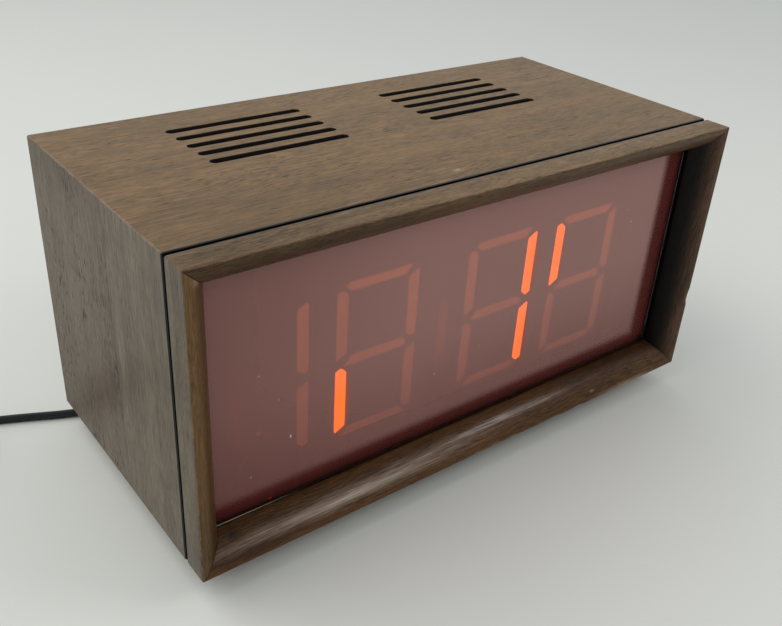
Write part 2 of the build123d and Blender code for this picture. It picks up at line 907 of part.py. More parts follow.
def button(x, z):
    """A push button: a cap, a stem through the bushing and a square collar that keeps it in."""
    cap_low = y_panel_out + bushing_out + button_travel + button_rest_gap
    cap = rod_y(x, z, cap_low, cap_low + button_cap_height, button_cap_radius)
    cap = chamfer(cap.edges().sort_by(Axis.Y)[-1], 0.8)
    collar_high = y_panel_in - collar_gap
    stem = rod_y(x, z, collar_high - collar_thick, cap_low + 0.5, button_stem_radius)
    collar = block(
        x - collar_radius, x + collar_radius, collar_high - collar_thick, collar_high,
        z - collar_radius, z + collar_radius,
    )
    return one(cap + stem + collar)


def nut(x, z):
    """A thin six-sided nut on the bushing."""
    sketch = Plane(origin=(x, y_panel_out, z), x_dir=(1, 0, 0), z_dir=(0, 1, 0)) * RegularPolygon(
        nut_flats / 2, 6, major_radius=False
    )
    body = extrude(sketch, amount=nut_thick)
    return one(body - rod_y(x, z, y_panel_out - 1, y_panel_out + nut_thick + 1, bushing_radius + button_fit))


def panel_vents():
    """Level slots low in the rear panel, where cool air goes in."""
    slots = []
    for row in range(panel_vent_count):
        z = z_bottom + panel_vent_rise + row * panel_vent_pitch
        plane = Plane(origin=(panel_vent_x, y_panel_in - 1, z), x_dir=(1, 0, 0), z_dir=(0, 1, 0))
        slots.append(extrude(plane * SlotOverall(panel_vent_length, panel_vent_width), amount=panel_thick + 2))
    return slots


def make_rear():
    """The rear panel with its screws, switches and buttons."""
    gap = panel_fit
    sheet = block(
        -x_inner - rabbet + gap, x_inner + rabbet - gap, y_panel_in, y_panel_out,
        z_floor - rabbet + gap, z_ceiling + rabbet - gap,
    )
    inset = block_screw_inset
    places = [(x + dx * inset, z + dz * inset) for x, z, dx, dz in corner_places()]
    cutters = [pilot_y(x, z, y_panel_out + 1) for x, z in places] + panel_vents()
    for x, z in button_places().values():
        cutters.append(rod_y(x, z, y_panel_in - 1, y_panel_out + 1, bushing_radius + bushing_fit))
    cutters.append(rod_y(
        relief_x, relief_z, y_panel_in - 1, y_panel_out + 1,
        relief_neck_radius + relief_fit,
    ))
    save("rear_panel", [one(hollowed(sheet, cutters))])
    save("rear_panel_screws", [screw_forward(x, z, y_panel_out) for x, z in places])
    save("switch_bodies", [switch_shell(x, z) for x, z in button_places().values()])
    save("switch_nuts", [nut(x, z) for x, z in button_places().values()])
    for name, (x, z) in button_places().items():
        save(name, [button(x, z)])


def lead_section():
    """The twin flex's section as (side, height) points: two round lobes with a waist between."""
    lobe = lead_width / 4
    side = lead_thick / 2
    angles = [-10, 90, 190]
    upper = [(side * math.cos(math.radians(a)), lobe + lobe * math.sin(math.radians(a))) for a in angles]
    lower = [(-x, -z) for x, z in upper]
    return [(lead_waist / 2, 0)] + upper + [(-lead_waist / 2, 0)] + lower


def lead_along(path, start, heading):
    """The lead swept along a path; a guide above the path keeps it standing on its edge."""
    guide = path.moved(Location((0, 0, 10 * lead_width)))
    return one(sweep(lead_face(start, heading), path=path, binormal=guide))


def level_lead(edges):
    """The lead swept along edges that all lie at one height."""
    return one(sweep(lead_face(edges[0] @ 0, edges[0] % 0), path=Wire(edges)))


def lead_face(start, heading):
    """The lead's section as a face across the start of a route, standing on its edge."""
    along = Vector(*heading).normalized()
    side = Vector(along.Y, -along.X, 0).normalized()
    plane = Plane(origin=start, x_dir=side, z_dir=-along)
    return plane * make_face(Polyline(*lead_section(), close=True))


def corner_radii(points):
    """As large a radius at each corner of a route as its two runs allow."""
    radii = []
    for before, here, after in zip(points, points[1:], points[2:]):
        into, out = Vector(*here) - Vector(*before), Vector(*after) - Vector(*here)
        half_turn = math.radians(into.get_angle(out)) / 2
        radii.append(0.45 * min(into.length, out.length) / math.tan(half_turn))
    return radii


def section_area():
    """The area of the lead's section."""
    points = lead_section()
    pairs = zip(points, points[1:] + points[:1])
    return abs(sum(x0 * z1 - x1 * z0 for (x0, z0), (x1, z1) in pairs)) / 2


def make_lead():
    """The lead's free stretch, from the strain relief to the coil."""
    radii = corner_radii(lead_points)
    print("lead corner radii", [round(r, 1) for r in radii])
    path = FilletPolyline(*lead_points, radius=radii).wire()
    start, second = lead_points[0], lead_points[1]
    heading = Vector(*second) - Vector(*start)
    lead = lead_along(path, start, heading)
    expected = section_area() * path.length
    print("lead length", round(path.length, 1), "volume", round(lead.volume), "expected", round(expected))
    save("power_lead", [lead])
    return path.length


def level(vector):
    """A direction without its rise."""
    return Vector(vector.X, vector.Y, 0).normalized()


def half_turn(centre, at, height):
    """Half a turn to the left from a point, as an arc at one height."""
    out = Vector(*at) - Vector(*centre)
    side = Vector(-out.Y, out.X, 0)
    middle, end = Vector(*centre) + side, Vector(*centre) - out
    lift = Vector(0, 0, height)
    return ThreePointArc(Vector(*at) + lift, middle + lift, end + lift), end


def biarc(start, start_way, end, end_way):
    """Two arcs that join two points with the given directions."""
    start_way, end_way = start_way.normalized(), end_way.normalized()
    span, ways = end - start, start_way + end_way
    spread = 2 * (1 - start_way.dot(end_way))
    reach = (math.sqrt(span.dot(ways) ** 2 + spread * span.dot(span)) - span.dot(ways)) / spread
    join = (start + end + (start_way - end_way) * reach) * 0.5
    join_way = (end - end_way * reach) - (start + start_way * reach)
    return [TangentArc(start, join, tangent=start_way), TangentArc(join, end, tangent=join_way)]


def climbing_half_turn(centre, at, low, high):
    """Half a turn to the left that climbs a layer, as two biarcs of a quarter turn."""
    out = at - centre
    side = Vector(-out.Y, out.X, 0)
    slope = 1.5 * (high - low) / (math.pi * out.length)
    points = [at + Vector(0, 0, low), centre + side + Vector(0, 0, (low + high) / 2), centre - out + Vector(0, 0, high)]
    ways = [side.normalized(), (-out).normalized() + Vector(0, 0, slope), (-side).normalized()]
    arcs = biarc(points[0], ways[0], points[1], ways[1]) + biarc(points[1], ways[1], points[2], ways[2])
    return arcs, centre - out


def coil_route():
    """The coil's route: in on the lower layer, up a layer, and out again on the upper one."""
    last, end = Vector(*lead_points[-2]), Vector(*lead_points[-1])
    heading = level(end - last)
    at = level_point(end) + heading * coil_start_run
    lower, upper = [Line(end, at + Vector(0, 0, coil_low))], []
    radius, step = coil_radius, coil_step / 2
    centre = at + Vector(-heading.Y, heading.X, 0) * radius
    for _ in range(coil_lower_half_turns):
        arc, at = half_turn(centre, at, coil_low)
        lower.append(arc)
        radius -= step
        centre = at + (centre - at).normalized() * radius
    climb, at = climbing_half_turn(centre, at, coil_low, coil_high)
    for _ in range(coil_upper_half_turns):
        radius += step
        centre = at + (centre - at).normalized() * radius
        arc, at = half_turn(centre, at, coil_high)
        upper.append(arc)
    way = level(Vector((centre - at).Y, -(centre - at).X, 0))
    nose = at + Vector(0, 0, coil_high) + way * coil_end_run
    upper.append(Line(at + Vector(0, 0, coil_high), nose))
    stretches = [[edge.edge() for edge in part] for part in (lower, climb, upper)]
    return stretches, heading, nose, way


def level_point(point):
    """A point brought down to the height zero."""
    return Vector(point.X, point.Y, 0)


def route_points(edges, step):
    """Points along a route, about a step apart, with their distance along it."""
    points, gone = [], 0.0
    for edge in edges:
        count = max(2, math.ceil(edge.length / step))
        points += [(gone + edge.length * i / count, edge @ (i / count)) for i in range(count)]
        gone += edge.length
    return points


def least_gap(edges):
    """The least gap between the coil and itself, taking the section as a box on its edge."""
    points = route_points(edges, 2.0)
    best = 999.0
    for i, (far_i, a) in enumerate(points):
        for far_j, b in points[i + 1:]:
            if far_j - far_i > 6 * lead_width:
                across = max(0.0, math.hypot(a.X - b.X, a.Y - b.Y) - lead_thick)
                up = max(0.0, abs(a.Z - b.Z) - lead_width)
                best = min(best, math.hypot(across, up))
    return best


def make_coil():
    """The coil, its tie and the plug."""
    (lower, climb, upper), heading, nose, way = coil_route()
    edges = lower + climb + upper
    rise = lead_along(Wire(climb), climb[0] @ 0, climb[0] % 0)
    coil = one(level_lead(lower) + rise + level_lead(upper))
    length = sum(edge.length for edge in edges)
    expected = section_area() * length
    print("coil length", round(length, 1), "volume", round(coil.volume), "expected", round(expected))
    print("coil least gap to itself", round(least_gap(edges), 2))
    save("lead_coil", [coil])
    save("coil_tie", [coil_tie(edges, heading)])
    make_plug(nose, way)
    return length


def coil_tie(edges, heading):
    """A strap round the bundle of turns, on the side away from the plug."""
    start = level_point(Vector(*lead_points[-1])) + heading * coil_start_run
    inward = Vector(-heading.Y, heading.X, 0)
    centre = start + inward * coil_radius
    reaches = []
    for _, point in route_points(edges, 1.0):
        out = level_point(point) - centre
        across = out.dot(inward)
        along = out.dot(heading)
        if across > 0 and abs(along) < tie_width / 2 + 1:
            reaches.append(across)
    near, far = min(reaches) - lead_thick / 2 - tie_gap, max(reaches) + lead_thick / 2 + tie_gap
    low, high = coil_low - lead_width / 2 - tie_gap, coil_high + lead_width / 2 + tie_gap
    turn = math.degrees(math.atan2(inward.Y, inward.X))
    place = Pos(centre.X, centre.Y, 0) * Rot(0, 0, turn)
    half = tie_width / 2
    band = block(near - tie_thick, far + tie_thick, -half, half, low - tie_thick, high + tie_thick)
    band = fillet(band.edges().filter_by(Axis.Y), tie_thick)
    return one(place * (band - block(near, far, -half - 1, half + 1, low, high)))


def wedge_x(x0, x1, z, first, last):
    """A four-sided taper along X about the height z, from one (across, up) size to another."""
    a, b = first[0] / 2, last[0] / 2
    plan = make_face(Polyline((x0, -a, z), (x0, a, z), (x1, b, z), (x1, -b, z), close=True))
    c, d = first[1] / 2, last[1] / 2
    side = make_face(Polyline((x0, 0, z - c), (x0, 0, z + c), (x1, 0, z + d), (x1, 0, z - d), close=True))
    reach = max(*first, *last)
    return one(extrude(plan, amount=reach, both=True) & extrude(side, amount=reach, both=True))


def make_plug(nose, way):
    """A two-blade plug at the end of the coil's outer turn."""
    turn = math.degrees(math.atan2(way.Y, way.X))
    place = Pos(nose.X, nose.Y, 0) * Rot(0, 0, turn)
    z = nose.Z
    plug_width = 2 * z
    grip = block(plug_nose_length, plug_length, -plug_thick / 2, plug_thick / 2, 0, plug_width)
    grip = chamfer(grip.edges().filter_by(Axis.X), plug_corner)
    taper = wedge_x(
        0, plug_nose_length, z, (plug_nose_thick, plug_nose_width),
        (plug_thick - 2 * plug_step, plug_width - 2 * plug_step),
    )
    save("plug_body", [one(place * (grip + taper))])
    blades = []
    for sign in (-1, 1):
        mid = z + sign * blade_pitch / 2
        blade = block(
            plug_length, plug_length + blade_length, -blade_width / 2, blade_width / 2,
            mid - blade_thick / 2, mid + blade_thick / 2,
        )
        blade = blade - prism((plug_length + blade_length - 3.2, 0, mid - blade_thick), (0, 0, 1), 2 * blade_thick, 1.6)
        blades.append(one(place * blade))
    save("plug_blades", blades)


def make_relief():
    """The strain relief in the rear panel and the lead's inner end."""
    z = relief_z
    neck = rod_y(relief_x, z, y_panel_in - relief_inner, y_panel_out + 0.5, relief_neck_radius)
    flange = rod_y(relief_x, z, y_panel_out, y_panel_out + relief_flange_thick, relief_flange_radius)
    flange = chamfer(flange.edges().sort_by(Axis.Y)[-1], 0.7)
    y0 = y_panel_out + relief_flange_thick
    wall = relief_end_wall
    sleeve = wedge_x(
        y0, lead_end_y, z, (relief_base_thick, relief_base_width),
        (lead_thick + 2 * wall, lead_width + 2 * wall),
    )
    sleeve = Pos(relief_x, 0, 0) * Rot(0, 0, 90) * sleeve
    save("strain_relief", [one(neck + flange + sleeve)])
    x, y = transformer_middle()
    y_start = y_panel_in - relief_inner
    lugs = (x + core_width / 2 - 8, y + core_depth / 2 + winding_bulge + 4, z_floor + core_height / 2)
    points = [(relief_x, y_start, z), (relief_x, y_start - inner_lead_run, z), lugs]
    path = FilletPolyline(*points, radius=[inner_lead_bend]).wire()
    section = Plane(origin=points[0], z_dir=(0, -1, 0)) * RegularPolygon(inner_lead_radius, 6)
    save("inner_lead", [one(sweep(section, path=path))])


def main():
    """Makes every sub-part."""
    os.makedirs("parts", exist_ok=True)
    make_case()
    make_frame()
    make_display()
    make_main_board()
    make_ribbon()
    make_transformer()
    make_rear()
    make_relief()
    lead = make_lead()
    coil = make_coil()
    print("whole lead", round(lead + coil))


main()
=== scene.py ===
"""A long walnut desk clock with a smoked front panel and seven-bar digits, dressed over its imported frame."""

from __future__ import annotations

import logging
import math
from dataclasses import dataclass, field
from enum import Enum

import bmesh
import bpy
from mathutils import Matrix, Vector

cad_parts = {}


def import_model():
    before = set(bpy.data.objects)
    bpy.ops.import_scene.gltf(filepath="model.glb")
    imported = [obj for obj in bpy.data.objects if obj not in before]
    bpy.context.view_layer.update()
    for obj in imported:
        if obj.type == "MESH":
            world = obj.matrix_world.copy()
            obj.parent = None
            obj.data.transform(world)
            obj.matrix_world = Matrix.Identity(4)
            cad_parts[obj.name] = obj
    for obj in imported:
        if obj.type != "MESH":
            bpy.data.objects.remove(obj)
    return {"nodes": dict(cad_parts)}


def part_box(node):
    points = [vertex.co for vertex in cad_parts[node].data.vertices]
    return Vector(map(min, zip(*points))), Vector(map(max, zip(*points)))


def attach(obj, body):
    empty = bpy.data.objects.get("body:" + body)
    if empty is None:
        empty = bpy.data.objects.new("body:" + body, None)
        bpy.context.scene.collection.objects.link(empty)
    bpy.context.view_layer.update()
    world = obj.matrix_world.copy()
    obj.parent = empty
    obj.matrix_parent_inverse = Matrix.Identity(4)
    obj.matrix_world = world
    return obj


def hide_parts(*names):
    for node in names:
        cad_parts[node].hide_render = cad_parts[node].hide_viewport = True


log = logging.getLogger("clock")
MM = 0.001
FAR = 1.0
Colour = tuple[float, float, float]
Point = tuple[float, float, float]
Box = tuple[Point, Point]
Node = bpy.types.Node
Port = bpy.types.NodeSocket
Nodes = dict[str, bpy.types.Object]


class Socket(Enum):
    """The kinds of value that a shader group takes and gives."""

    NUMBER = "NodeSocketFloat"
    COLOUR = "NodeSocketColor"
    VECTOR = "NodeSocketVector"


class Grain(Enum):
    """The axis that the fibres of a piece of wood run along."""

    ALONG_X = 0
    ALONG_Z = 2

    def turn(self) -> Point:
        """The turn that lays the fibres along X."""
        return (0.0, math.pi / 2 if self is Grain.ALONG_Z else 0.0, 0.0)

    def squeezed(self, times: float) -> Point:
        """The scale that makes the streaks this many times shorter."""
        return tuple(times if axis == self.value else 1.0 for axis in range(3))


class Lay(Enum):
    """How a colour lies on what is below it."""

    COVER = "MIX"
    # Multiplies the colour below: real stains and tones, and also painted shade.
    STAIN_AND_SHADE = "MULTIPLY"


class NodeSheet:
    """Puts nodes on one shader tree and wires them together."""

    def __init__(self, tree: bpy.types.NodeTree) -> None:
        """Keeps the tree that the nodes go on."""
        self.tree = tree

    def node(self, kind: str, **settings: object) -> Node:
        """Adds a node.

        Args:
            kind: the node's type name without its ShaderNode prefix.
            settings: properties of the node and their values.

        Returns:
            The new node.
        """
        made = self.tree.nodes.new("ShaderNode" + kind)
        for name, value in settings.items():
            setattr(made, name, value)
        return made

    def feed(self, target: Port, value: object) -> None:
        """Gives an input a link or a plain value.

        Args:
            target: the input.
            value: an output socket, a number, or a colour or vector as a tuple.
        """
        if isinstance(value, Port):
            self.tree.links.new(value, target)
        elif isinstance(value, tuple) and len(value) == 3 and target.type == "RGBA":
            target.default_value = (*value, 1.0)
        else:
            target.default_value = value

    def fed(self, kind: str, *values: object, **settings: object) -> Port:
        """Adds a node and feeds its inputs in their order.

        Args:
            kind: the node's type name without its ShaderNode prefix.
            values: what its first inputs get.
            settings: properties of the node and their values.

        Returns:
            Its first output.
        """
        made = self.node(kind, **settings)
        for target, value in zip(made.inputs, values):
            self.feed(target, value)
        return made.outputs[0]

    def maths(self, operation: str, *values: object) -> Port:
        """A number worked out from up to three others."""
        return self.fed("Math", *values, operation=operation)

    def times(self, first: object, second: object) -> Port:
        """Two numbers multiplied."""
        return self.maths("MULTIPLY", first, second)

    def plus(self, first: object, second: object) -> Port:
        """Two numbers added up."""
        return self.maths("ADD", first, second)

    def minus(self, first: object, second: object) -> Port:
        """The first number less the second."""
        return self.maths("SUBTRACT", first, second)

    def vector(self, operation: str, *values: object) -> Port:
        """A vector worked out from one or two others."""
        return self.fed("VectorMath", *values, operation=operation)

    def split(self, value: object) -> tuple[Port, ...]:
        """The three parts of a vector."""
        return tuple(self.fed("SeparateXYZ", value).node.outputs)

    def inside(self, place: object, low: object, high: object) -> Port:
        """How far a place is inside a box, along each axis."""
        above, below = self.vector("SUBTRACT", place, low), self.vector("SUBTRACT", high, place)
        return self.vector("MINIMUM", above, below)

    def blend(self, factor: object, first: object, second: object, way: Lay = Lay.COVER) -> Port:
        """Mixes two colours.

        Args:
            factor: how much of the second one, a socket or number.
            first: the colour below.
            second: the colour on top.
            way: how the second one lies on the first.

        Returns:
            The mixed colour's socket.
        """
        made = self.node("Mix", data_type="RGBA", blend_type=way.value)
        for number, value in ((0, factor), (6, first), (7, second)):
            self.feed(made.inputs[number], value)
        return made.outputs[2]

    def remap(
        self, value: object, low: float, high: float, to_low: object = 0.0, to_high: object = 1.0
    ) -> Port:
        """Stretches the range from low to high over another one, with soft ends."""
        return self.fed("MapRange", value, low, high, to_low, to_high, interpolation_type="SMOOTHSTEP")

    def noise(self, place: object, scale: object, detail: float = 2.0, rough: float = 0.5) -> Port:
        """A cloudy number between 0 and 1.

        Args:
            place: the vector that it is read at.
            scale: how many clouds there are in a unit.
            detail: how many finer layers it has.
            rough: how strong these are.

        Returns:
            The number's socket.
        """
        made = self.node("TexNoise")
        for name, value in (("Vector", place), ("Scale", scale), ("Detail", detail), ("Roughness", rough)):
            self.feed(made.inputs[name], value)
        return made.outputs["Fac"]

    def streaks(self, place: object, stretch: object, detail: float, rough: float) -> Port:
        """Noise with its own number of clouds a unit along each axis."""
        return self.noise(self.vector("MULTIPLY", place, stretch), 1.0, detail, rough)


def sockets(vectors: str = "", colours: str = "", numbers: str = "") -> dict[str, Socket]:
    """The inputs or outputs of a shader group, from the names of each kind with spaces between them."""
    kinds = ((vectors, Socket.VECTOR), (colours, Socket.COLOUR), (numbers, Socket.NUMBER))
    return {name: kind for names, kind in kinds for name in names.split()}


class ShaderGroup:
    """An effect that several materials share, built once as a shader node group."""

    title = ""
    takes = sockets("Place")
    gives = sockets(numbers="Mask")

    def draw(self, sheet: NodeSheet, given: dict[str, Port]) -> tuple[Port, ...]:
        """Draws the effect's nodes from its inputs and returns its outputs; each group has its own."""
        raise NotImplementedError

    def tree(self) -> bpy.types.NodeTree:
        """The group's tree, made the first time that it is asked for."""
        found = bpy.data.node_groups.get(self.title)
        if found:
            return found
        made = bpy.data.node_groups.new(self.title, "ShaderNodeTree")
        for way, kinds in (("INPUT", self.takes), ("OUTPUT", self.gives)):
            for name, kind in kinds.items():
                made.interface.new_socket(name, in_out=way, socket_type=kind.value)
        entry, result = made.nodes.new("NodeGroupInput"), made.nodes.new("NodeGroupOutput")
        sheet = NodeSheet(made)
        given = {socket.name: socket for socket in entry.outputs}
        for target, value in zip(result.inputs, self.draw(sheet, given)):
            sheet.feed(target, value)
        return made

    def on(self, sheet: MaterialSheet, **values: object) -> Node:
        """Puts the group in a material, read at the material's own place unless another is given.

        Args:
            sheet: the material's sheet.
            values: the inputs, by their names in small letters.

        Returns:
            The group's node.
        """
        made = sheet.node("Group", node_tree=self.tree())
        for name, value in {"place": sheet.place, **values}.items():
            sheet.feed(made.inputs[name.capitalize()], value)
        return made


class WalnutGrain(ShaderGroup):
    """Walnut: broad bands of figure, fine fibres and short open pores, with the fibres along X."""

    title = "Walnut grain"
    takes = sockets("Place", "Light Dark Pore", "Figure Pores Fibres Curl")
    gives = sockets(colours="Colour", numbers="Gloss Height")
    sway = (5.0, 14.0, 14.0)
    drifts = (0.022, 0.017)
    clouds = {
        "broad": (4.0, 55.0, 3.0, 0.62),
        "bands": (7.0, 300.0, 2.0, 0.6),
        "fibres": (38.0, 1300.0, 3.0, 0.7),
        "curl": (190.0, 50.0, 2.0, 0.5),
        "dashes": (110.0, 1650.0, 1.0, 0.4),
        "patches": (12.0, 60.0, 1.0, 0.5),
    }
    bands_strength = 0.8
    veins, veins_strength = (0.57, 0.7), 0.55
    open_dashes, open_patches = (0.565, 0.7), (0.35, 0.65, 0.4, 1.0)
    pores_gloss, bands_gloss, fibres_height = 0.22, 0.12, 0.3

    def draw(self, sheet: NodeSheet, given: dict[str, Port]) -> tuple[Port, ...]:
        """Draws the figure, the fibres and the pores, with places in metres and clouds a metre."""
        sway = sheet.streaks(given["Place"], self.sway, detail=1.0, rough=0.5)
        drift = sheet.fed("CombineXYZ", 0.0, *(sheet.times(sway, share) for share in self.drifts))
        bent = sheet.vector("ADD", given["Place"], drift)
        cloud = {
            name: sheet.streaks(bent, (along, across, across), detail, rough)
            for name, (along, across, detail, rough) in self.clouds.items()
        }
        strengths = {
            "broad": given["Figure"],
            "bands": self.bands_strength,
            "fibres": given["Fibres"],
            "curl": given["Curl"],
        }
        tone = 0.5
        for name, strength in strengths.items():
            tone = sheet.plus(tone, sheet.times(sheet.minus(cloud[name], 0.5), strength))
        wood = sheet.blend(sheet.remap(tone, 0.0, 1.0), given["Dark"], given["Light"])
        veins = sheet.times(sheet.remap(cloud["bands"], *self.veins), self.veins_strength)
        wood = sheet.blend(veins, wood, given["Dark"])
        pores = sheet.remap(cloud["dashes"], *self.open_dashes)
        pores = sheet.times(pores, sheet.remap(cloud["patches"], *self.open_patches))
        pores = sheet.times(pores, given["Pores"])
        gloss = sheet.times(cloud["bands"], self.bands_gloss)
        gloss = sheet.plus(sheet.times(pores, self.pores_gloss), gloss)
        height = sheet.minus(sheet.times(cloud["fibres"], self.fibres_height), pores)
        return sheet.blend(pores, wood, given["Pore"]), gloss, height


class WornEdge(ShaderGroup):
    """Where a box-shaped piece is worn: a broken band along its edges."""

    title = "Worn edge"
    takes = sockets("Place Low High", numbers="Reach Broken")
    gives = sockets(numbers="Mask Depth")
    gaps, widths = (70.0, 4.0, 0.7), (0.42, 0.66, 0.35, 1.7)
    crumbs, crumbled = (900.0, 2.0, 0.6), (0.35, 0.6)
    soft_end = 0.7

    def draw(self, sheet: NodeSheet, given: dict[str, Port]) -> tuple[Port, ...]:
        """Draws a mask that is 1 at the edges and 0 beyond the reach, and the depth below the sides."""
        place = given["Place"]
        x, y, z = sheet.split(sheet.vector("ABSOLUTE", sheet.inside(place, given["Low"], given["High"])))
        lesser, greater = sheet.maths("MINIMUM", x, y), sheet.maths("MAXIMUM", x, y)
        second = sheet.maths("MAXIMUM", lesser, sheet.maths("MINIMUM", greater, z))
        gaps = sheet.remap(sheet.noise(place, *self.gaps), *self.widths)
        mask = sheet.minus(1.0, sheet.maths("DIVIDE", second, sheet.times(given["Reach"], gaps)))
        fine = sheet.remap(sheet.noise(place, *self.crumbs), *self.crumbled)
        fine = sheet.minus(1.0, sheet.times(given["Broken"], sheet.minus(1.0, fine)))
        return sheet.times(sheet.remap(mask, 0.0, self.soft_end), fine), sheet.maths("MINIMUM", x, z)


class Specks(ShaderGroup):
    """Scattered specks, as of dust or nicks."""

    title = "Specks"
    takes = sockets("Place", numbers="Spacing Size Share")
    least = 0.3

    def draw(self, sheet: NodeSheet, given: dict[str, Port]) -> tuple[Port, ...]:
        """Draws one speck in a share of the cells of a random net."""
        cells = sheet.node("TexVoronoi", feature="F1")
        sheet.feed(cells.inputs["Vector"], sheet.vector("DIVIDE", given["Place"], given["Spacing"]))
        sheet.feed(cells.inputs["Scale"], 1.0)
        red, green, _ = sheet.fed("SeparateColor", cells.outputs["Color"]).node.outputs
        chosen = sheet.maths("LESS_THAN", red, given["Share"])
        reach = sheet.maths("DIVIDE", given["Size"], given["Spacing"])
        reach = sheet.times(reach, sheet.plus(green, self.least))
        return (sheet.times(chosen, sheet.maths("LESS_THAN", cells.outputs["Distance"], reach)),)


class InsideBox(ShaderGroup):
    """What lies inside a box, such as a painted cut."""

    title = "Inside box"
    takes = sockets("Place Low High", numbers="Blur")

    def draw(self, sheet: NodeSheet, given: dict[str, Port]) -> tuple[Port, ...]:
        """Draws a mask that is 1 inside the box, with a soft border as wide as the blur."""
        x, y, z = sheet.split(sheet.inside(given["Place"], given["Low"], given["High"]))
        least = sheet.maths("MINIMUM", sheet.maths("MINIMUM", x, y), z)
        return (sheet.fed("Clamp", sheet.maths("DIVIDE", least, given["Blur"])),)


class SoftPatch(ShaderGroup):
    """A soft round or long patch, such as a scuff, a smudge or a grain of dust."""

    title = "Soft patch"
    takes = sockets("Place Centre Turn Reach Streaks", numbers="Broken")

    def draw(self, sheet: NodeSheet, given: dict[str, Port]) -> tuple[Port, ...]:
        """Draws a mask that is 1 in the middle and 0 from the reach on, eaten away where it is broken."""
        turned = sheet.node("VectorRotate", rotation_type="EULER_XYZ")
        sheet.feed(turned.inputs["Vector"], sheet.vector("SUBTRACT", given["Place"], given["Centre"]))
        sheet.feed(turned.inputs["Rotation"], given["Turn"])
        shrunk = sheet.vector("DIVIDE", turned.outputs[0], given["Reach"])
        away = sheet.vector("LENGTH", shrunk).node.outputs["Value"]
        streaks = sheet.streaks(given["Place"], given["Streaks"], detail=3.0, rough=0.7)
        far = sheet.plus(away, sheet.times(streaks, given["Broken"]))
        return (sheet.remap(far, 1.0, 0.0),)


class Mottle(ShaderGroup):
    """The uneven tone of moulded, cast or rolled surfaces."""

    title = "Mottle"
    takes = sockets("Place", "Tone", "Patches Depth")
    gives = sockets(colours="Colour", numbers="Gloss Height")
    clouds, grains = (4.0, 0.6), (2600.0, 2.0, 0.6)
    clouds_share, grains_share, gloss_share = 0.7, 0.3, 0.3

    def draw(self, sheet: NodeSheet, given: dict[str, Port]) -> tuple[Port, ...]:
        """Draws clouds of two sizes and a fine grain."""
        clouds = sheet.noise(given["Place"], given["Patches"], *self.clouds)
        grains = sheet.times(sheet.noise(given["Place"], *self.grains), self.grains_share)
        tone = sheet.plus(sheet.times(clouds, self.clouds_share), grains)
        change = sheet.times(sheet.minus(tone, 0.5), given["Depth"])
        colour = sheet.vector("SCALE", given["Tone"])
        sheet.feed(colour.node.inputs["Scale"], sheet.plus(1.0, change))
        return colour, sheet.times(sheet.minus(clouds, 0.5), self.gloss_share), tone


WALNUT_GRAIN, WORN_EDGE, SPECKS = WalnutGrain(), WornEdge(), Specks()
INSIDE_BOX, SOFT_PATCH, MOTTLE = InsideBox(), SoftPatch(), Mottle()


class MaterialSheet(NodeSheet):
    """A material's own tree, with its surface shader in place."""

    def __init__(self, name: str) -> None:
        """Starts a material of this name."""
        self.material = bpy.data.materials.new(name)
        self.material.use_nodes = True
        super().__init__(self.material.node_tree)
        self.shader = self.tree.nodes["Principled BSDF"]
        self.place = self.node("TexCoord").outputs["Object"]

    def surface(self, **values: object) -> None:
        """Sets the shader's inputs, with an underscore for each space in their names."""
        for name, value in values.items():
            words = name.replace("_", " ").title().replace("Ior", "IOR")
            self.feed(self.shader.inputs[words], value)

    def bump(self, height: object, strength: float, distance: float) -> Port:
        """A normal bent by a height.

        Args:
            height: the height's socket, from 0 to 1.
            strength: how strongly it shows.
            distance: the height of 1 in metres.

        Returns:
            The normal's socket.
        """
        made = self.node("Bump")
        for name, value in (("Strength", strength), ("Distance", distance), ("Height", height)):
            self.feed(made.inputs[name], value)
        return made.outputs["Normal"]

    def mottle(self, tone: Colour, patches: float, depth: float) -> Node:
        """The uneven tone of a surface."""
        return MOTTLE.on(self, tone=tone, patches=patches, depth=depth)


@dataclass(frozen=True)
class Patch:
    """One soft patch of another tone: its place and reach in mm, its strength, and its streaks a metre."""

    centre: Point
    reach: Point
    tone: Colour
    strength: float = 1.0
    turn: Point = (0.0, 0.0, 0.0)
    ragged: float = 0.0
    streaks: Point = (700.0, 700.0, 700.0)
    way: Lay = Lay.COVER

    def over(self, sheet: MaterialSheet, colour: Port) -> Port:
        """Lays the patch over a colour.

        Args:
            sheet: the material's sheet.
            colour: what is below.

        Returns:
            The colour with the patch on it.
        """
        centre, reach = (tuple(value * MM for value in row) for row in (self.centre, self.reach))
        mask = SOFT_PATCH.on(
            sheet, centre=centre, reach=reach, turn=self.turn, broken=self.ragged, streaks=self.streaks
        ).outputs[0]
        return sheet.blend(sheet.times(mask, self.strength), colour, self.tone, self.way)


def stain_and_shade(centre: Point, reach: Point, tone: Colour, strength: float = 1.0, **more: object) -> Patch:
    """A patch that lets the grain below it show: real stains and smudges, and also painted shade."""
    return Patch(centre, reach, tone, strength, way=Lay.STAIN_AND_SHADE, **more)


def spot(
    x: float, z: float, wide: float, high: float, tone: Colour, strength: float = 1.0, **more: object
) -> Patch:
    """A patch on the front of the panel, with its place and reach in mm."""
    return Patch((x, -75.0, z), (wide, 2.0, high), tone, strength, **more)


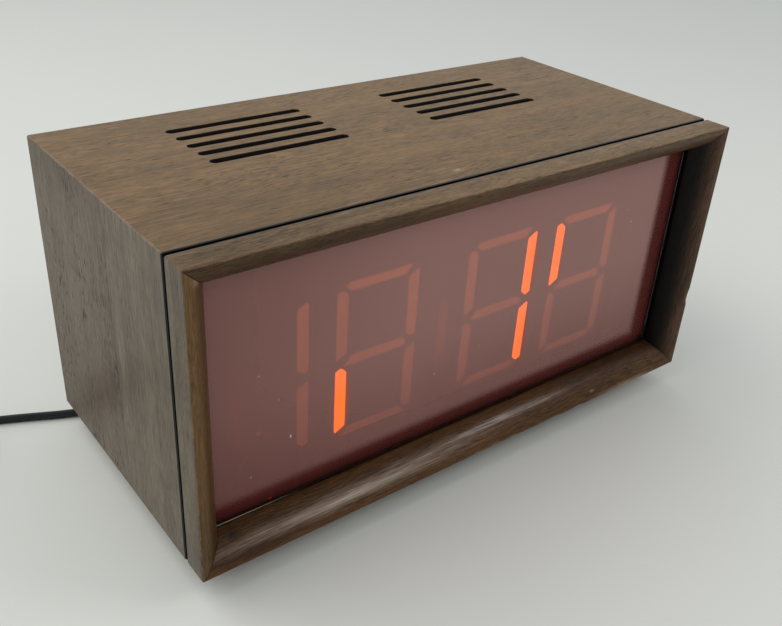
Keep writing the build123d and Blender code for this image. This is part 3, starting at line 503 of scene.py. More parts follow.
@dataclass(frozen=True)
class WalnutFinish:
    """Oiled walnut with its worn edges and small scuffs, and on some pieces painted shade, painted sheen and
    black painted shade in given boxes.
    """

    name: str
    grain: Grain
    light: Colour = (0.214, 0.119, 0.044)
    dark: Colour = (0.090, 0.050, 0.017)
    pore: Colour = (0.030, 0.020, 0.013)
    worn: Colour = (0.26, 0.18, 0.105)
    # Black painted shade, laid in given boxes such as slot walls and edges by the gap behind the frame.
    shade_black: Colour = (0.006, 0.006, 0.006)
    figure: float = 1.0
    pores: float = 0.8
    fibres: float = 1.9
    curl: float = 0.25
    wear: float = 0.5
    wear_reach: float = 0.8 * MM
    wear_gaps: float = 0.6
    nick_wear: float = 0.3
    roughness: float = 0.45
    specular: float = 0.3
    relief: float = 0.12 * MM
    short: float = 1.0
    # The tone of the sloped face is its darker finish mixed with painted light and shade, lighter or darker
    # for each side as the light falls.
    slope: Colour | None = None
    slope_start: tuple[float, float] = (0.1 * MM, 0.6 * MM)
    slope_gloss: float = 0.0
    # The inner tone is painted shade: the moulding darkens from a depth towards the panel.
    inner: Colour | None = None
    inner_shade_depth: tuple[float, float] = (0.0, 0.0)
    leaf: Box | None = None
    leaf_tone: Colour = (0.99, 0.965, 0.94)
    leaf_pores: float = 0.8
    patches: tuple[Patch, ...] = ()
    shift: Point = (0.0, 0.0, 0.0)
    shade_boxes: tuple[Box, ...] = ()

    def material(self, low: Point, high: Point) -> bpy.types.Material:
        """Makes the material.

        Args:
            low: the lowest corner of the box whose edges are worn.
            high: its highest corner.

        Returns:
            The new material.
        """
        sheet = MaterialSheet(self.name)
        turn, squeezed = self.grain.turn(), self.grain.squeezed(self.short)
        turned = sheet.fed("Mapping", sheet.place, self.shift, turn, squeezed)
        pores = self.pores
        if self.leaf:
            leaf = INSIDE_BOX.on(sheet, low=self.leaf[0], high=self.leaf[1], blur=0.4 * MM).outputs[0]
            pores = sheet.plus(pores, sheet.times(leaf, self.leaf_pores))
        wood = WALNUT_GRAIN.on(
            sheet, place=turned, light=self.light, dark=self.dark, pore=self.pore, figure=self.figure,
            pores=pores, fibres=self.fibres, curl=self.curl,
        )
        edge = WORN_EDGE.on(sheet, low=low, high=high, reach=self.wear_reach, broken=self.wear_gaps)
        nicks = SPECKS.on(sheet, spacing=30.0 * MM, size=0.9 * MM, share=0.16).outputs[0]
        worn, nicked = sheet.times(edge.outputs[0], self.wear), sheet.times(nicks, self.nick_wear)
        colour = wood.outputs["Colour"]
        rough = sheet.plus(wood.outputs["Gloss"], self.roughness)
        # Painted light and shade on the sloped face, together with its darker finish.
        if self.slope:
            slope = sheet.remap(edge.outputs["Depth"], *self.slope_start)
            colour = sheet.blend(slope, colour, self.slope, Lay.STAIN_AND_SHADE)
            rough = sheet.minus(rough, sheet.times(slope, self.slope_gloss))
        # Painted shade: darker towards the panel.
        if self.inner:
            inner = sheet.remap(edge.outputs["Depth"], *self.inner_shade_depth)
            colour = sheet.blend(inner, colour, self.inner, Lay.STAIN_AND_SHADE)
        if self.leaf:
            colour = sheet.blend(leaf, colour, self.leaf_tone, Lay.STAIN_AND_SHADE)
        for patch in self.patches:
            colour = patch.over(sheet, colour)
        colour = sheet.blend(sheet.maths("MAXIMUM", worn, nicked), colour, self.worn)
        # Painted shade: black inside the given boxes.
        for box_low, box_high in self.shade_boxes:
            painted = INSIDE_BOX.on(sheet, low=box_low, high=box_high, blur=0.3 * MM).outputs[0]
            colour = sheet.blend(painted, colour, self.shade_black)
        normal = sheet.bump(wood.outputs["Height"], 0.35, self.relief)
        sheet.surface(base_color=colour, roughness=rough, normal=normal, specular_ior_level=self.specular)
        return sheet.material


@dataclass(frozen=True)
class PlainFinish:
    """A moulded, painted or metal surface of one colour, uneven as a real one is."""

    name: str
    tone: Colour
    roughness: float = 0.5
    patches: float = 60.0
    depth: float = 0.25
    metallic: float = 0.0
    grit: float = 0.2
    grit_height: float = 0.1 * MM
    dust: float = 0.0
    dust_tone: Colour = (0.5, 0.5, 0.48)
    specular: float = 0.5

    def material(self) -> bpy.types.Material:
        """Makes the material."""
        sheet = MaterialSheet(self.name)
        cloud = sheet.mottle(self.tone, self.patches, self.depth)
        colour = cloud.outputs["Colour"]
        if self.dust:
            specks = SPECKS.on(sheet, spacing=4.0 * MM, size=0.3 * MM, share=0.3).outputs[0]
            colour = sheet.blend(sheet.times(specks, self.dust), colour, self.dust_tone)
        rough = sheet.plus(cloud.outputs["Gloss"], self.roughness)
        normal = sheet.bump(cloud.outputs["Height"], self.grit, self.grit_height)
        sheet.surface(base_color=colour, roughness=rough, normal=normal)
        sheet.surface(metallic=self.metallic, specular_ior_level=self.specular)
        return sheet.material


@dataclass(frozen=True)
class SmokedPanelFinish:
    """The smoked red sheet over the digits, with a painted reflection of the bright room on it, and painted
    shade that leaves it dark along its right and lower edges.

    A rim is the height at the floor, the width at the right and the blur of what it leaves clear. The
    painted reflection starts at its least share, a little beyond the left or lower edge, and is full at a
    place, so that it is darker towards the left and the bottom, as painted shade.
    """

    name: str = "Smoked panel"
    # Painted shade: near black along the right and lower edges, next to the frame.
    deep: Colour = (0.008, 0.003, 0.003)
    tint: Colour = (0.105, 0.012, 0.008)
    # Painted reflection: the bright room seen in the satin sheet, laid into its colour.
    painted_reflection: Colour = (0.455, 0.222, 0.193)
    # Painted highlight: a thin light glint along the right edge.
    edge_glint: Colour = (0.13, 0.11, 0.10)
    shaded_rim: tuple[float, float, float] = (0.8 * MM, 2.5 * MM, 7.0 * MM)
    reflection_rim: tuple[float, float, float] = (7.8 * MM, 14.5 * MM, 8.0 * MM)
    # Painted shade: the reflection is weaker towards the left and the bottom.
    reflection_sideways: tuple[float, float, float] = (-8.0 * MM, -30.0 * MM, 0.64)
    reflection_upwards: tuple[float, float, float] = (-2.0 * MM, 115.0 * MM, 0.6)
    glint_inset: tuple[float, float] = (2.9 * MM, 2.2 * MM)
    glint_rise: float = 12.0 * MM
    roughness: float = 0.35
    specular: float = 0.06
    coat: float = 0.6
    coat_roughness: float = 0.22
    coat_ior: float = 1.6
    cover: float = 0.62
    # Painted glow: the colour of the halos of light round the lit bars.
    glow: Colour = (0.85, 0.13, 0.04)
    # Dust specks and small spots, with painted glints, painted glow and painted shade among them.
    specks_and_painted_light: tuple[Patch, ...] = (
        spot(119.0, 141.0, 0.9, 0.7, (0.7, 0.56, 0.5), 0.6),
        spot(125.0, 132.0, 1.1, 0.8, (0.8, 0.68, 0.62), 0.85),
        spot(-28.4, 73.9, 0.8, 0.8, (0.8, 0.62, 0.55), 0.7),
        spot(4.3, 81.4, 0.8, 0.6, (0.8, 0.62, 0.5), 0.5),
        spot(-140.3, 113.3, 1.0, 0.7, (0.85, 0.7, 0.66), 0.7),
        spot(-129.6, 95.8, 0.6, 1.0, (0.8, 0.6, 0.55), 0.5),
        spot(-122.8, 70.5, 0.8, 1.4, (0.95, 0.82, 0.76)),
        spot(-146.1, 54.4, 0.6, 1.6, (0.75, 0.55, 0.5), 0.45),
        spot(-155.7, 151.7, 1.2, 1.4, (0.05, 0.02, 0.02), 0.6, ragged=0.5),
        spot(-154.0, 98.0, 5.0, 34.0, (0.42, 0.11, 0.09), 0.3),
        # Painted highlight: a thin glint along the lower left edge.
        spot(-158.0, 32.3, 48.0, 0.7, (0.5, 0.42, 0.39), 0.9),
        # Painted highlight: a small red glint.
        spot(-135.3, 35.7, 1.2, 0.9, (0.7, 0.03, 0.015)),
        # Painted shade: black in the lower right corner.
        spot(163.0, 35.0, 16.0, 9.0, (0.004, 0.003, 0.003), ragged=0.2),
        # Painted glow: soft halos of light round the lit bars.
        spot(-93.0, 79.7, 8.5, 28.0, glow, 0.4, turn=(0.0, -0.05, 0.0)),
        spot(38.9, 124.6, 7.5, 28.0, glow, 0.3, turn=(0.0, -0.04, 0.0)),
        spot(37.6, 79.5, 7.5, 28.0, glow, 0.3, turn=(0.0, -0.05, 0.0)),
        spot(61.0, 125.2, 7.5, 28.0, glow, 0.3),
        # Painted glow: a warmer colour laid over the lit bars.
        spot(-90.8, 78.2, 5.5, 30.0, (0.95, 0.17, 0.0), 0.5),
        spot(40.1, 123.9, 5.5, 30.0, (0.95, 0.14, 0.02), 0.2),
        spot(40.1, 78.2, 5.5, 30.0, (0.75, 0.07, 0.02), 0.35),
    )

    def material(self, low: Point, high: Point) -> bpy.types.Material:
        """Makes the material.

        Args:
            low: the lowest corner of the part of the sheet that the frame leaves in sight.
            high: its highest corner.

        Returns:
            The new material.
        """
        sheet = MaterialSheet(self.name)
        # Painted shade: black at the very edge, then dark red where the painted reflection stops.
        tinted, reflection_mask = (self.beyond(sheet, low[2], high[0], rim) for rim in (self.shaded_rim, self.reflection_rim))
        x, _, z = sheet.split(sheet.place)
        shade_ramps = []
        # Painted shade: the reflection weakens towards the left and the bottom.
        for part, edge, shade_ramp in ((x, low[0], self.reflection_sideways), (z, low[2], self.reflection_upwards)):
            start, full, least = shade_ramp
            shade_ramps.append(sheet.remap(part, edge + start, full, least, 1.0))
        clouds = sheet.mottle(self.painted_reflection, patches=14.0, depth=0.12)
        reflection_mask = sheet.times(reflection_mask, sheet.times(*shade_ramps))
        colour = sheet.blend(tinted, self.deep, self.tint)
        colour = sheet.blend(reflection_mask, colour, clouds.outputs["Colour"])
        # Painted highlight: the thin glint along the right edge.
        left, right = (high[0] - inset for inset in self.glint_inset)
        line = INSIDE_BOX.on(
            sheet, low=(left, -FAR, low[2] + self.glint_rise), high=(right, FAR, FAR), blur=0.2 * MM
        )
        colour = sheet.blend(line.outputs[0], colour, self.edge_glint)
        # Dust specks, painted glints, painted glow and painted shade.
        for mark in self.specks_and_painted_light:
            colour = mark.over(sheet, colour)
        rough = sheet.plus(sheet.times(clouds.outputs["Gloss"], 0.25), self.roughness)
        front = sheet.minus(1.0, sheet.node("NewGeometry").outputs["Backfacing"])
        sheet.surface(base_color=colour, roughness=rough, specular_ior_level=self.specular)
        sheet.surface(coat_weight=sheet.times(reflection_mask, self.coat), alpha=sheet.times(front, self.cover))
        sheet.surface(coat_roughness=self.coat_roughness, coat_ior=self.coat_ior)
        return sheet.material

    def beyond(
        self, sheet: MaterialSheet, floor: float, side: float, rim: tuple[float, float, float]
    ) -> Port:
        """A mask of the sheet without its rim, given as the height, the width and the blur."""
        low, high = (-FAR, -FAR, floor + rim[0]), (side - rim[1], FAR, FAR)
        return sheet.remap(INSIDE_BOX.on(sheet, low=low, high=high, blur=rim[2]).outputs[0], 0.0, 1.0)


@dataclass(frozen=True)
class BarFinish:
    """The diffusing plastic of a digit's bars, dark or with its lamps on, with painted shade that can darken
    them towards the bottom.
    """

    name: str
    tone: Colour
    glow: Colour = (0.95, 0.135, 0.001)
    strength: float = 0.0
    # Painted shade: how far the bars darken towards the bottom, between two heights, to this tone.
    shade_ramp: float = 0.0
    shade_heights: tuple[float, float] = (150.0 * MM, 45.0 * MM)
    shade_tone: Colour = (0.055, 0.02, 0.02)

    def material(self) -> bpy.types.Material:
        """Makes the material."""
        sheet = MaterialSheet(self.name)
        cloud = sheet.mottle(self.tone, 35.0, 0.25)
        height = sheet.split(sheet.place)[2]
        # Painted shade: darker towards the bottom.
        lower = sheet.remap(height, *self.shade_heights, 0.0, self.shade_ramp)
        sheet.surface(base_color=sheet.blend(lower, cloud.outputs["Colour"], self.shade_tone), roughness=0.6)
        if self.strength:
            hot = sheet.mottle(self.glow, 28.0, 0.3)
            sheet.surface(emission_color=hot.outputs["Colour"], emission_strength=self.strength)
        return sheet.material


def dress(nodes: Nodes, materials: dict[str, bpy.types.Material]) -> None:
    """Gives CAD nodes their materials.

    Args:
        nodes: the frame's objects, by the names of their nodes.
        materials: what each of them gets.
    """
    for name, material in materials.items():
        piece = nodes[name]
        if not piece.material_slots:
            piece.data.materials.append(material)
        for slot in piece.material_slots:
            slot.material = material
        log.info("%s is dressed in %s", name, material.name)


def three_point_arc(
    start: tuple[float, float], middle: tuple[float, float], end: tuple[float, float], count: int
) -> list[tuple[float, float]]:
    """Points on the arc through three others.

    Args:
        start: its first point.
        middle: a point on it.
        end: its last point.
        count: how many steps it is cut into.

    Returns:
        The points, the first and last included.
    """
    (ax, ay), (bx, by), (cx, cy) = start, middle, end
    turn = 2 * (ax * (by - cy) + bx * (cy - ay) + cx * (ay - by))
    squares = (ax * ax + ay * ay, bx * bx + by * by, cx * cx + cy * cy)
    x = (squares[0] * (by - cy) + squares[1] * (cy - ay) + squares[2] * (ay - by)) / turn
    y = (squares[0] * (cx - bx) + squares[1] * (ax - cx) + squares[2] * (bx - ax)) / turn
    radius = math.hypot(ax - x, ay - y)
    first, last = math.atan2(ay - y, ax - x), math.atan2(cy - y, cx - x)
    sweep = (last - first + math.pi) % (2 * math.pi) - math.pi
    angles = [first + sweep * step / count for step in range(count + 1)]
    return [(x + radius * math.cos(angle), y + radius * math.sin(angle)) for angle in angles]


def joint_box(*names: str) -> Box:
    """The box round several CAD nodes.

    Args:
        names: the nodes.

    Returns:
        Its lowest and highest corners in metres.
    """
    boxes = [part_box(name) for name in names]
    low = tuple(min(box[0][axis] for box in boxes) for axis in range(3))
    high = tuple(max(box[1][axis] for box in boxes) for axis in range(3))
    return low, high


def loft(
    name: str, rings: list[list[Point]], smooth: bool = True, seam: bool = True, looped: bool = False
) -> bpy.types.Mesh:
    """Skins a row of closed rings.

    Args:
        name: the mesh's name.
        rings: the rings, all with as many points, in metres.
        smooth: whether the skin is smooth and not flat.
        seam: whether that includes the side from each ring's last point to its first.
        looped: whether the last ring joins the first; otherwise both ends get a flat cap.

    Returns:
        The mesh.
    """
    shape = bmesh.new()
    rows = [[shape.verts.new(point) for point in ring] for ring in rings]
    for first, second in zip(rows, rows[1:] + rows[:1] if looped else rows[1:]):
        for i, corner in enumerate(first):
            j = (i + 1) % len(first)
            face = shape.faces.new((corner, first[j], second[j], second[i]))
            face.smooth = smooth and (seam or j != 0)
    if not looped:
        shape.faces.new(rows[0])
        shape.faces.new(list(reversed(rows[-1])))
    bmesh.ops.recalc_face_normals(shape, faces=shape.faces)
    mesh = bpy.data.meshes.new(name)
    shape.to_mesh(mesh)
    shape.free()
    return mesh


def new_piece(
    name: str, mesh: bpy.types.Mesh, body: str, material: bpy.types.Material
) -> bpy.types.Object:
    """Puts a mesh in the scene as a piece that rides on a body.

    Args:
        name: the piece's name.
        mesh: its mesh, in metres and in place.
        body: the body that carries it.
        material: its material.

    Returns:
        The new object.
    """
    piece = bpy.data.objects.new(name, mesh)
    bpy.context.scene.collection.objects.link(piece)
    mesh.materials.append(material)
    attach(piece, body)
    log.info("%s rides on %s", name, body)
    return piece


@dataclass
class Studio:
    """The camera, the lamps and the pale floor."""

    camera_place: Point = (-0.31803, -0.38976, 0.35877)
    azimuth: float = math.radians(39.08)
    drop: float = math.radians(30.06)
    roll: float = math.radians(3.56)
    lens: float = 42.0
    sensor: float = 36.0
    near: float = 0.01
    floor_half: float = 4.0
    floor_tone: Colour = (0.655, 0.665, 0.635)
    sky_tone: Colour = (0.70, 0.72, 0.70)
    fill_tone: Colour = (0.96, 0.99, 1.0)
    fill: float = 0.68

    def camera(self) -> bpy.types.Object:
        """Stands the camera where the photograph was taken."""
        data = bpy.data.cameras.new("Camera")
        data.lens, data.sensor_width, data.sensor_fit = self.lens, self.sensor, "HORIZONTAL"
        data.clip_start = self.near
        camera = bpy.data.objects.new("Camera", data)
        bpy.context.scene.collection.objects.link(camera)
        east, north = math.sin(self.azimuth), math.cos(self.azimuth)
        cos_drop = math.cos(self.drop)
        ahead = Vector((east * cos_drop, north * cos_drop, -math.sin(self.drop)))
        level = Vector((north, -east, 0.0))
        rise = level.cross(ahead)
        right = level * math.cos(self.roll) + rise * math.sin(self.roll)
        up = rise * math.cos(self.roll) - level * math.sin(self.roll)
        turn = Matrix((right, up, -ahead)).transposed()
        camera.matrix_world = Matrix.Translation(self.camera_place) @ turn.to_4x4()
        bpy.context.scene.camera = camera
        return camera

    def lamp(
        self, name: str, place: Point, aim: Point, size: tuple[float, float], power: float, tone: Colour
    ) -> None:
        """Hangs a soft lamp.

        Args:
            name: the lamp's name.
            place: where it hangs.
            aim: the point that it faces.
            size: its width and height.
            power: its watts.
            tone: its colour.
        """
        data = bpy.data.lights.new(name, "AREA")
        data.shape, data.size, data.size_y = "RECTANGLE", *size
        data.energy, data.color = power, tone
        lamp = bpy.data.objects.new(name, data)
        lamp.location = place
        lamp.rotation_euler = (Vector(aim) - Vector(place)).to_track_quat("-Z", "Y").to_euler()
        bpy.context.scene.collection.objects.link(lamp)

    def floor(self) -> None:
        """Lays the pale floor, with the faint unevenness of paper."""
        mesh = bpy.data.meshes.new("floor")
        half = self.floor_half
        corners = [(-half, -half, 0.0), (half, -half, 0.0), (half, half, 0.0), (-half, half, 0.0)]
        mesh.from_pydata(corners, [], [(0, 1, 2, 3)])
        floor = bpy.data.objects.new("floor", mesh)
        bpy.context.scene.collection.objects.link(floor)
        paper = PlainFinish("Pale paper", self.floor_tone, 0.75, 4.0, 0.06, grit=0.1)
        mesh.materials.append(paper.material())

    def sky(self) -> None:
        """A world that lights evenly and shows a pale background."""
        world = bpy.data.worlds.new("Pale room")
        bpy.context.scene.world = world
        world.use_nodes = True
        sheet = NodeSheet(world.node_tree)
        shader = world.node_tree.nodes["Background"]
        rays = sheet.node("LightPath")
        seen = sheet.maths("MAXIMUM", rays.outputs["Is Camera Ray"], rays.outputs["Is Glossy Ray"])
        seen = sheet.maths("MAXIMUM", seen, rays.outputs["Is Transmission Ray"])
        sheet.feed(shader.inputs["Color"], sheet.blend(seen, self.fill_tone, self.sky_tone))
        sheet.feed(shader.inputs["Strength"], sheet.remap(seen, 0.0, 1.0, self.fill, 1.0))

    def light(self) -> None:
        """Hangs a broad lamp above and behind, and a small one that the bottom moulding mirrors."""
        self.lamp("Ceiling lamp", (-0.85, 0.5, 1.35), (0.0, 0.0, 0.1), (1.7, 1.3), 13.0, (1.0, 0.98, 0.94))
        self.lamp("Window", (0.78, -0.80, 1.0), (0.0, -0.08, 0.03), (0.55, 0.3), 3.0, (1.0, 0.99, 0.97))


@dataclass
class TwinLead:
    """The flat twin lead, standing on its edge, with its put-away coil; sizes in mm."""

    relief_x: float = -30.0
    side_x: float = -183.0
    rear_y: float = 91.05
    exit_y: float = 103.05
    exit_z: float = 36.0
    width: float = 5.6
    thick: float = 2.8
    waist: float = 1.7
    coil_low: float = 3.8
    coil_high: float = 9.9
    coil_radius: float = 37.5
    coil_step: float = 1.7
    lower_half_turns: int = 6
    upper_half_turns: int = 5
    start_run: float = 6.0
    end_run: float = 22.0
    points_per_half_turn: int = 8
    whole_length: float = 1532.0
    finish: PlainFinish = PlainFinish(
        "Black lead", (0.007, 0.009, 0.012), 0.36, 80.0, 0.3, grit=0.15, dust=0.12, specular=0.28
    )

    def laid_points(self) -> list[Vector]:
        """The route from the rear panel to the coil, in millimetres."""
        exit_x, side, rear = self.relief_x, self.side_x, self.rear_y
        points = [
            (exit_x, self.exit_y, self.exit_z),
            (exit_x, self.exit_y + 14, self.exit_z),
            (exit_x - 6, rear + 40.8, self.exit_z - 1),
            (exit_x - 18.4, rear + 52.4, self.exit_z - 3.5),
            (exit_x - 35.8, rear + 57.1, self.exit_z - 7),
            (exit_x - 55.3, rear + 52.6, self.exit_z - 11),
            (side + 75.9, rear + 38.4, 20.0),
            (side + 58.5, rear + 26.5, 15.5),
            (side + 43, rear + 13, 10.0),
            (side + 28, rear + 2.8, 5.2),
            (side + 13, rear - 0.3, 3.3),
            (side - 1, rear + 4.8, 3.1),
            (side - 14, rear + 10.7, 3.1),
            (side - 27.5, rear + 16.8, 3.1),
            (side - 42, rear + 22.8, 3.1),
            (side - 58.5, rear + 29.4, self.coil_low),
            (side - 76, rear + 36.4, self.coil_low),
        ]
        return [Vector(point) for point in points]

    def coil_points(self, last: Vector, end: Vector) -> list[Vector]:
        """The coil's turns and its end run.

        Args:
            last: the point before the coil's start run.
            end: the point where that run starts.

        Returns:
            The points in millimetres.
        """
        heading = Vector((end.x - last.x, end.y - last.y, 0.0)).normalized()
        left = Vector((-heading.y, heading.x, 0.0))
        at = Vector((end.x, end.y, 0.0)) + heading * self.start_run
        count = self.points_per_half_turn
        outwards = 1.0 / (0.75 + 0.25 * math.cos(math.pi / count))
        radius, points = self.coil_radius, []
        for half in range(self.lower_half_turns + 1 + self.upper_half_turns):
            centre = at + left * radius
            arm = at - centre
            for step in range(count):
                gone = step / count
                climb = min(max(half - self.lower_half_turns + gone, 0.0), 1.0)
                height = self.coil_low + (self.coil_high - self.coil_low) * climb
                turned = Matrix.Rotation(math.pi * gone, 3, "Z") @ arm
                points.append(centre + turned * outwards + Vector((0.0, 0.0, height)))
            at, left = centre - arm, -left
            radius += -self.coil_step if half < self.lower_half_turns else self.coil_step
        way = Vector((left.y, -left.x, 0.0))
        top = at + Vector((0.0, 0.0, self.coil_high))
        return points + [top, top + way * self.end_run / 2, top + way * self.end_run]

    def route(self) -> bpy.types.Object:
        """The whole route as one NURBS spline in metres."""
        laid = self.laid_points()
        points = laid + self.coil_points(laid[-2], laid[-1])
        data = bpy.data.curves.new("lead_route", "CURVE")
        data.dimensions, data.resolution_u = "3D", 6
        spline = data.splines.new("NURBS")
        spline.points.add(len(points) - 1)
        for target, point in zip(spline.points, points):
            target.co = (*(point * MM), 1.0)
        spline.order_u = 3
        spline.use_endpoint_u = True
        return bpy.data.objects.new("lead_route", data)

    def section(self) -> list[tuple[float, float]]:
        """The twin outline: two round lobes and a waist, as sideways and upward places in metres."""
        lobe, side = self.width / 4, self.thick / 2
        angles = [math.radians(degrees) for degrees in range(-30, 211, 30)]
        upper = [(math.cos(angle) * side, lobe + math.sin(angle) * lobe) for angle in angles]
        lower = [(-x, -z) for x, z in upper]
        outline = [(self.waist / 2, 0.0)] + upper + [(-self.waist / 2, 0.0)] + lower
        return [(x * MM, z * MM) for x, z in outline]

    def build(self) -> bpy.types.Object:
        line = bpy.data.meshes.new_from_object(self.route())
        path = [vertex.co.copy() for vertex in line.vertices]
        outline, rings = self.section(), []
        for index, point in enumerate(path):
            before, after = path[max(index - 1, 0)], path[min(index + 1, len(path) - 1)]
            along = (after - before).normalized()
            side = along.cross(Vector((0.0, 0.0, 1.0))).normalized()
            up = side.cross(along)
            rings.append([point + side * x + up * z for x, z in outline])
        mesh = loft("twin_lead", rings)
        lead = new_piece("twin_lead", mesh, "clock", self.finish.material())
        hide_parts("power_lead", "lead_coil")
        return lead


@dataclass
class CaseBoards:
    """The veneered box: four boards, their glue blocks, the rear panel and a black card in the frame's gap, as
    painted shade.
    """

    grey_light: Colour = (0.184, 0.147, 0.107)
    grey_dark: Colour = (0.086, 0.068, 0.049)
    leaf_seam: float = -6.4 * MM
    slot_skin: float = 0.12 * MM
    slot_depth: float = 11.0 * MM
    slot_area: tuple[tuple[float, float], tuple[float, float]] = ((-0.15, -0.01), (0.15, 0.075))
    # Painted shade: the boards' front edges are black to this depth, darkening the gap behind the frame.
    edge_shade: float = 0.8 * MM
    clear: float = 10.0 * MM
    # The black card in the gap behind the frame is painted shade.
    reveal_inset: float = 0.3 * MM
    reveal_clear: float = 0.2 * MM
    reveal_thick: float = 0.3 * MM
    reveal_air: float = 0.02 * MM
    top_patches: tuple[Patch, ...] = (
        stain_and_shade((-130.0, -60.0, 188.2), (125.0, 62.0, 10.0), (0.74, 0.72, 0.66), ragged=0.2),
        Patch((-13.0, -62.0, 188.2), (13.0, 6.0, 2.0), (0.44, 0.36, 0.28), 0.95, ragged=1.1),
        Patch((-141.0, -62.0, 188.2), (5.0, 2.5, 2.0), (0.40, 0.32, 0.24), 0.6, ragged=1.1),
        stain_and_shade((156.0, 66.0, 188.2), (24.0, 8.0, 4.0), (0.45, 0.48, 0.55), 0.9, ragged=0.5),
        stain_and_shade((0.0, 51.0, 188.2), (26.0, 8.0, 4.0), (0.6, 0.6, 0.62), 0.8, ragged=0.5),
    )
    left_patches: tuple[Patch, ...] = (
        # Painted shade: a soft dark diagonal band across the rear of the left side.
        stain_and_shade((-183.0, 19.0, 66.0), (4.0, 105.0, 21.0), (0.70, 0.63, 0.58), turn=(0.65, 0.0, 0.0)),
        stain_and_shade((-183.0, -6.2, 104.0), (4.0, 1.1, 170.0), (0.52, 0.46, 0.43)),
        stain_and_shade((-183.0, -16.0, 80.0), (4.0, 13.0, 85.0), (1.14, 1.13, 1.12), 0.8),
        stain_and_shade((-183.0, -64.0, 172.0), (4.0, 18.0, 45.0), (0.82, 0.85, 0.90), 0.9),
        stain_and_shade((-183.0, 52.0, 189.0), (4.0, 95.0, 40.0), (0.62, 0.60, 0.60), 0.85, ragged=0.15),
    )

    def dress(self, nodes: Nodes) -> None:
        """Gives every piece of the box its finish."""
        low, high = joint_box("case_top", "case_bottom")
        # Painted shade: the slot walls in the top and the boards' front edges are black.
        clear, below = self.clear, high[2] - self.slot_skin
        levels = (below - self.slot_depth, below)
        slots = tuple((*corner, level) for corner, level in zip(self.slot_area, levels))
        edge_end = (high[0] + clear, low[1] + self.edge_shade, high[2] + clear)
        front = (tuple(value - clear for value in low), edge_end)
        rear_leaf = ((low[0] - clear, self.leaf_seam, low[2]), (low[0] + clear, high[1] + clear, high[2]))
        grey = (Grain.ALONG_Z, self.grey_light, self.grey_dark)
        woods = {
            "case_top": WalnutFinish(
                "Walnut top", Grain.ALONG_X, pores=0.8, fibres=3.4, curl=0.12, specular=0.42, roughness=0.41,
                short=1.4, shade_boxes=(slots, front), patches=self.top_patches,
            ),
            "case_bottom": WalnutFinish(
                "Walnut bottom", Grain.ALONG_X, shift=(0.3, 0.1, 0.2), shade_boxes=(front,),
            ),
            "case_left_side": WalnutFinish(
                "Walnut left side", *grey, leaf=rear_leaf, pores=0.4, fibres=2.6, curl=0.3, short=1.5,
                shift=(0.0, 0.4, 0.1), shade_boxes=(front,), patches=self.left_patches,
            ),
            "case_right_side": WalnutFinish(
                "Walnut right side", *grey, pores=0.6, curl=0.4, shift=(0.5, 0.9, 0.3), shade_boxes=(front,),
            ),
        }
        dress(nodes, {name: wood.material(low, high) for name, wood in woods.items()})
        plain = {
            "corner_blocks": PlainFinish("Pine blocks", (0.52, 0.36, 0.2), 0.7, 40.0, 0.5),
            "rear_panel": PlainFinish(
                "Hardboard", (0.165, 0.10, 0.06), 0.55, 150.0, 0.8, grit=0.4, dust=0.25
            ),
        }
        dress(nodes, {name: finish.material() for name, finish in plain.items()})
        self.reveal(low, high)

    def reveal(self, low: Point, high: Point) -> bpy.types.Object:
        """Lines the gap behind the front frame with black card, as painted shade.

        Args:
            low: the boards' lowest corner in metres.
            high: their highest corner.

        Returns:
            The card.
        """
        panel_low, panel_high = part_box("display_filter")
        edges = {
            "outer": (low, high, -self.reveal_inset),
            "inner": (panel_low, panel_high, self.reveal_clear),
        }
        depths = {"front": low[1] - self.reveal_thick, "rear": low[1] - self.reveal_air}
        rings = []
        for depth, edge in (("front", "outer"), ("front", "inner"), ("rear", "inner"), ("rear", "outer")):
            first, last, grow = edges[edge]
            left, right = first[0] - grow, last[0] + grow
            floor, top = first[2] - grow, last[2] + grow
            corners = ((left, floor), (right, floor), (right, top), (left, top))
            rings.append([(x, depths[depth], z) for x, z in corners])
        mesh = loft("gap_shade_card_mesh", rings, smooth=False, looped=True)
        card = PlainFinish("Gap shade card", (0.004, 0.004, 0.004), 0.95, 200.0, 0.4, specular=0.03)
        return new_piece("gap_shade_card", mesh, "clock", card.material())


class Side(Enum):
    """The four mouldings of the front frame, named as their CAD nodes."""

    TOP = "frame_top_rail"
    BOTTOM = "frame_bottom_rail"
    LEFT = "frame_left_stile"
    RIGHT = "frame_right_stile"


@dataclass(frozen=True)
class Ding:
    """A dent in a moulding: its place along it and inwards, its reach and its depth, in mm."""

    side: Side
    along: float
    inwards: float
    reach: float
    depth: float


@dataclass(frozen=True)
class MouldingTones:
    """The tones of a moulding, its sloped face and its inner part, and where that part starts and ends in mm;
    the sloped face's tone is its darker finish mixed with painted light and shade for the side, and the inner
    tone is painted shade towards the panel.
    """

    light: Colour
    dark: Colour
    slope: Colour
    inner: Colour
    inner_shade_depth: tuple[float, float]
    pores: float = 0.7
    fibres: float = 3.0


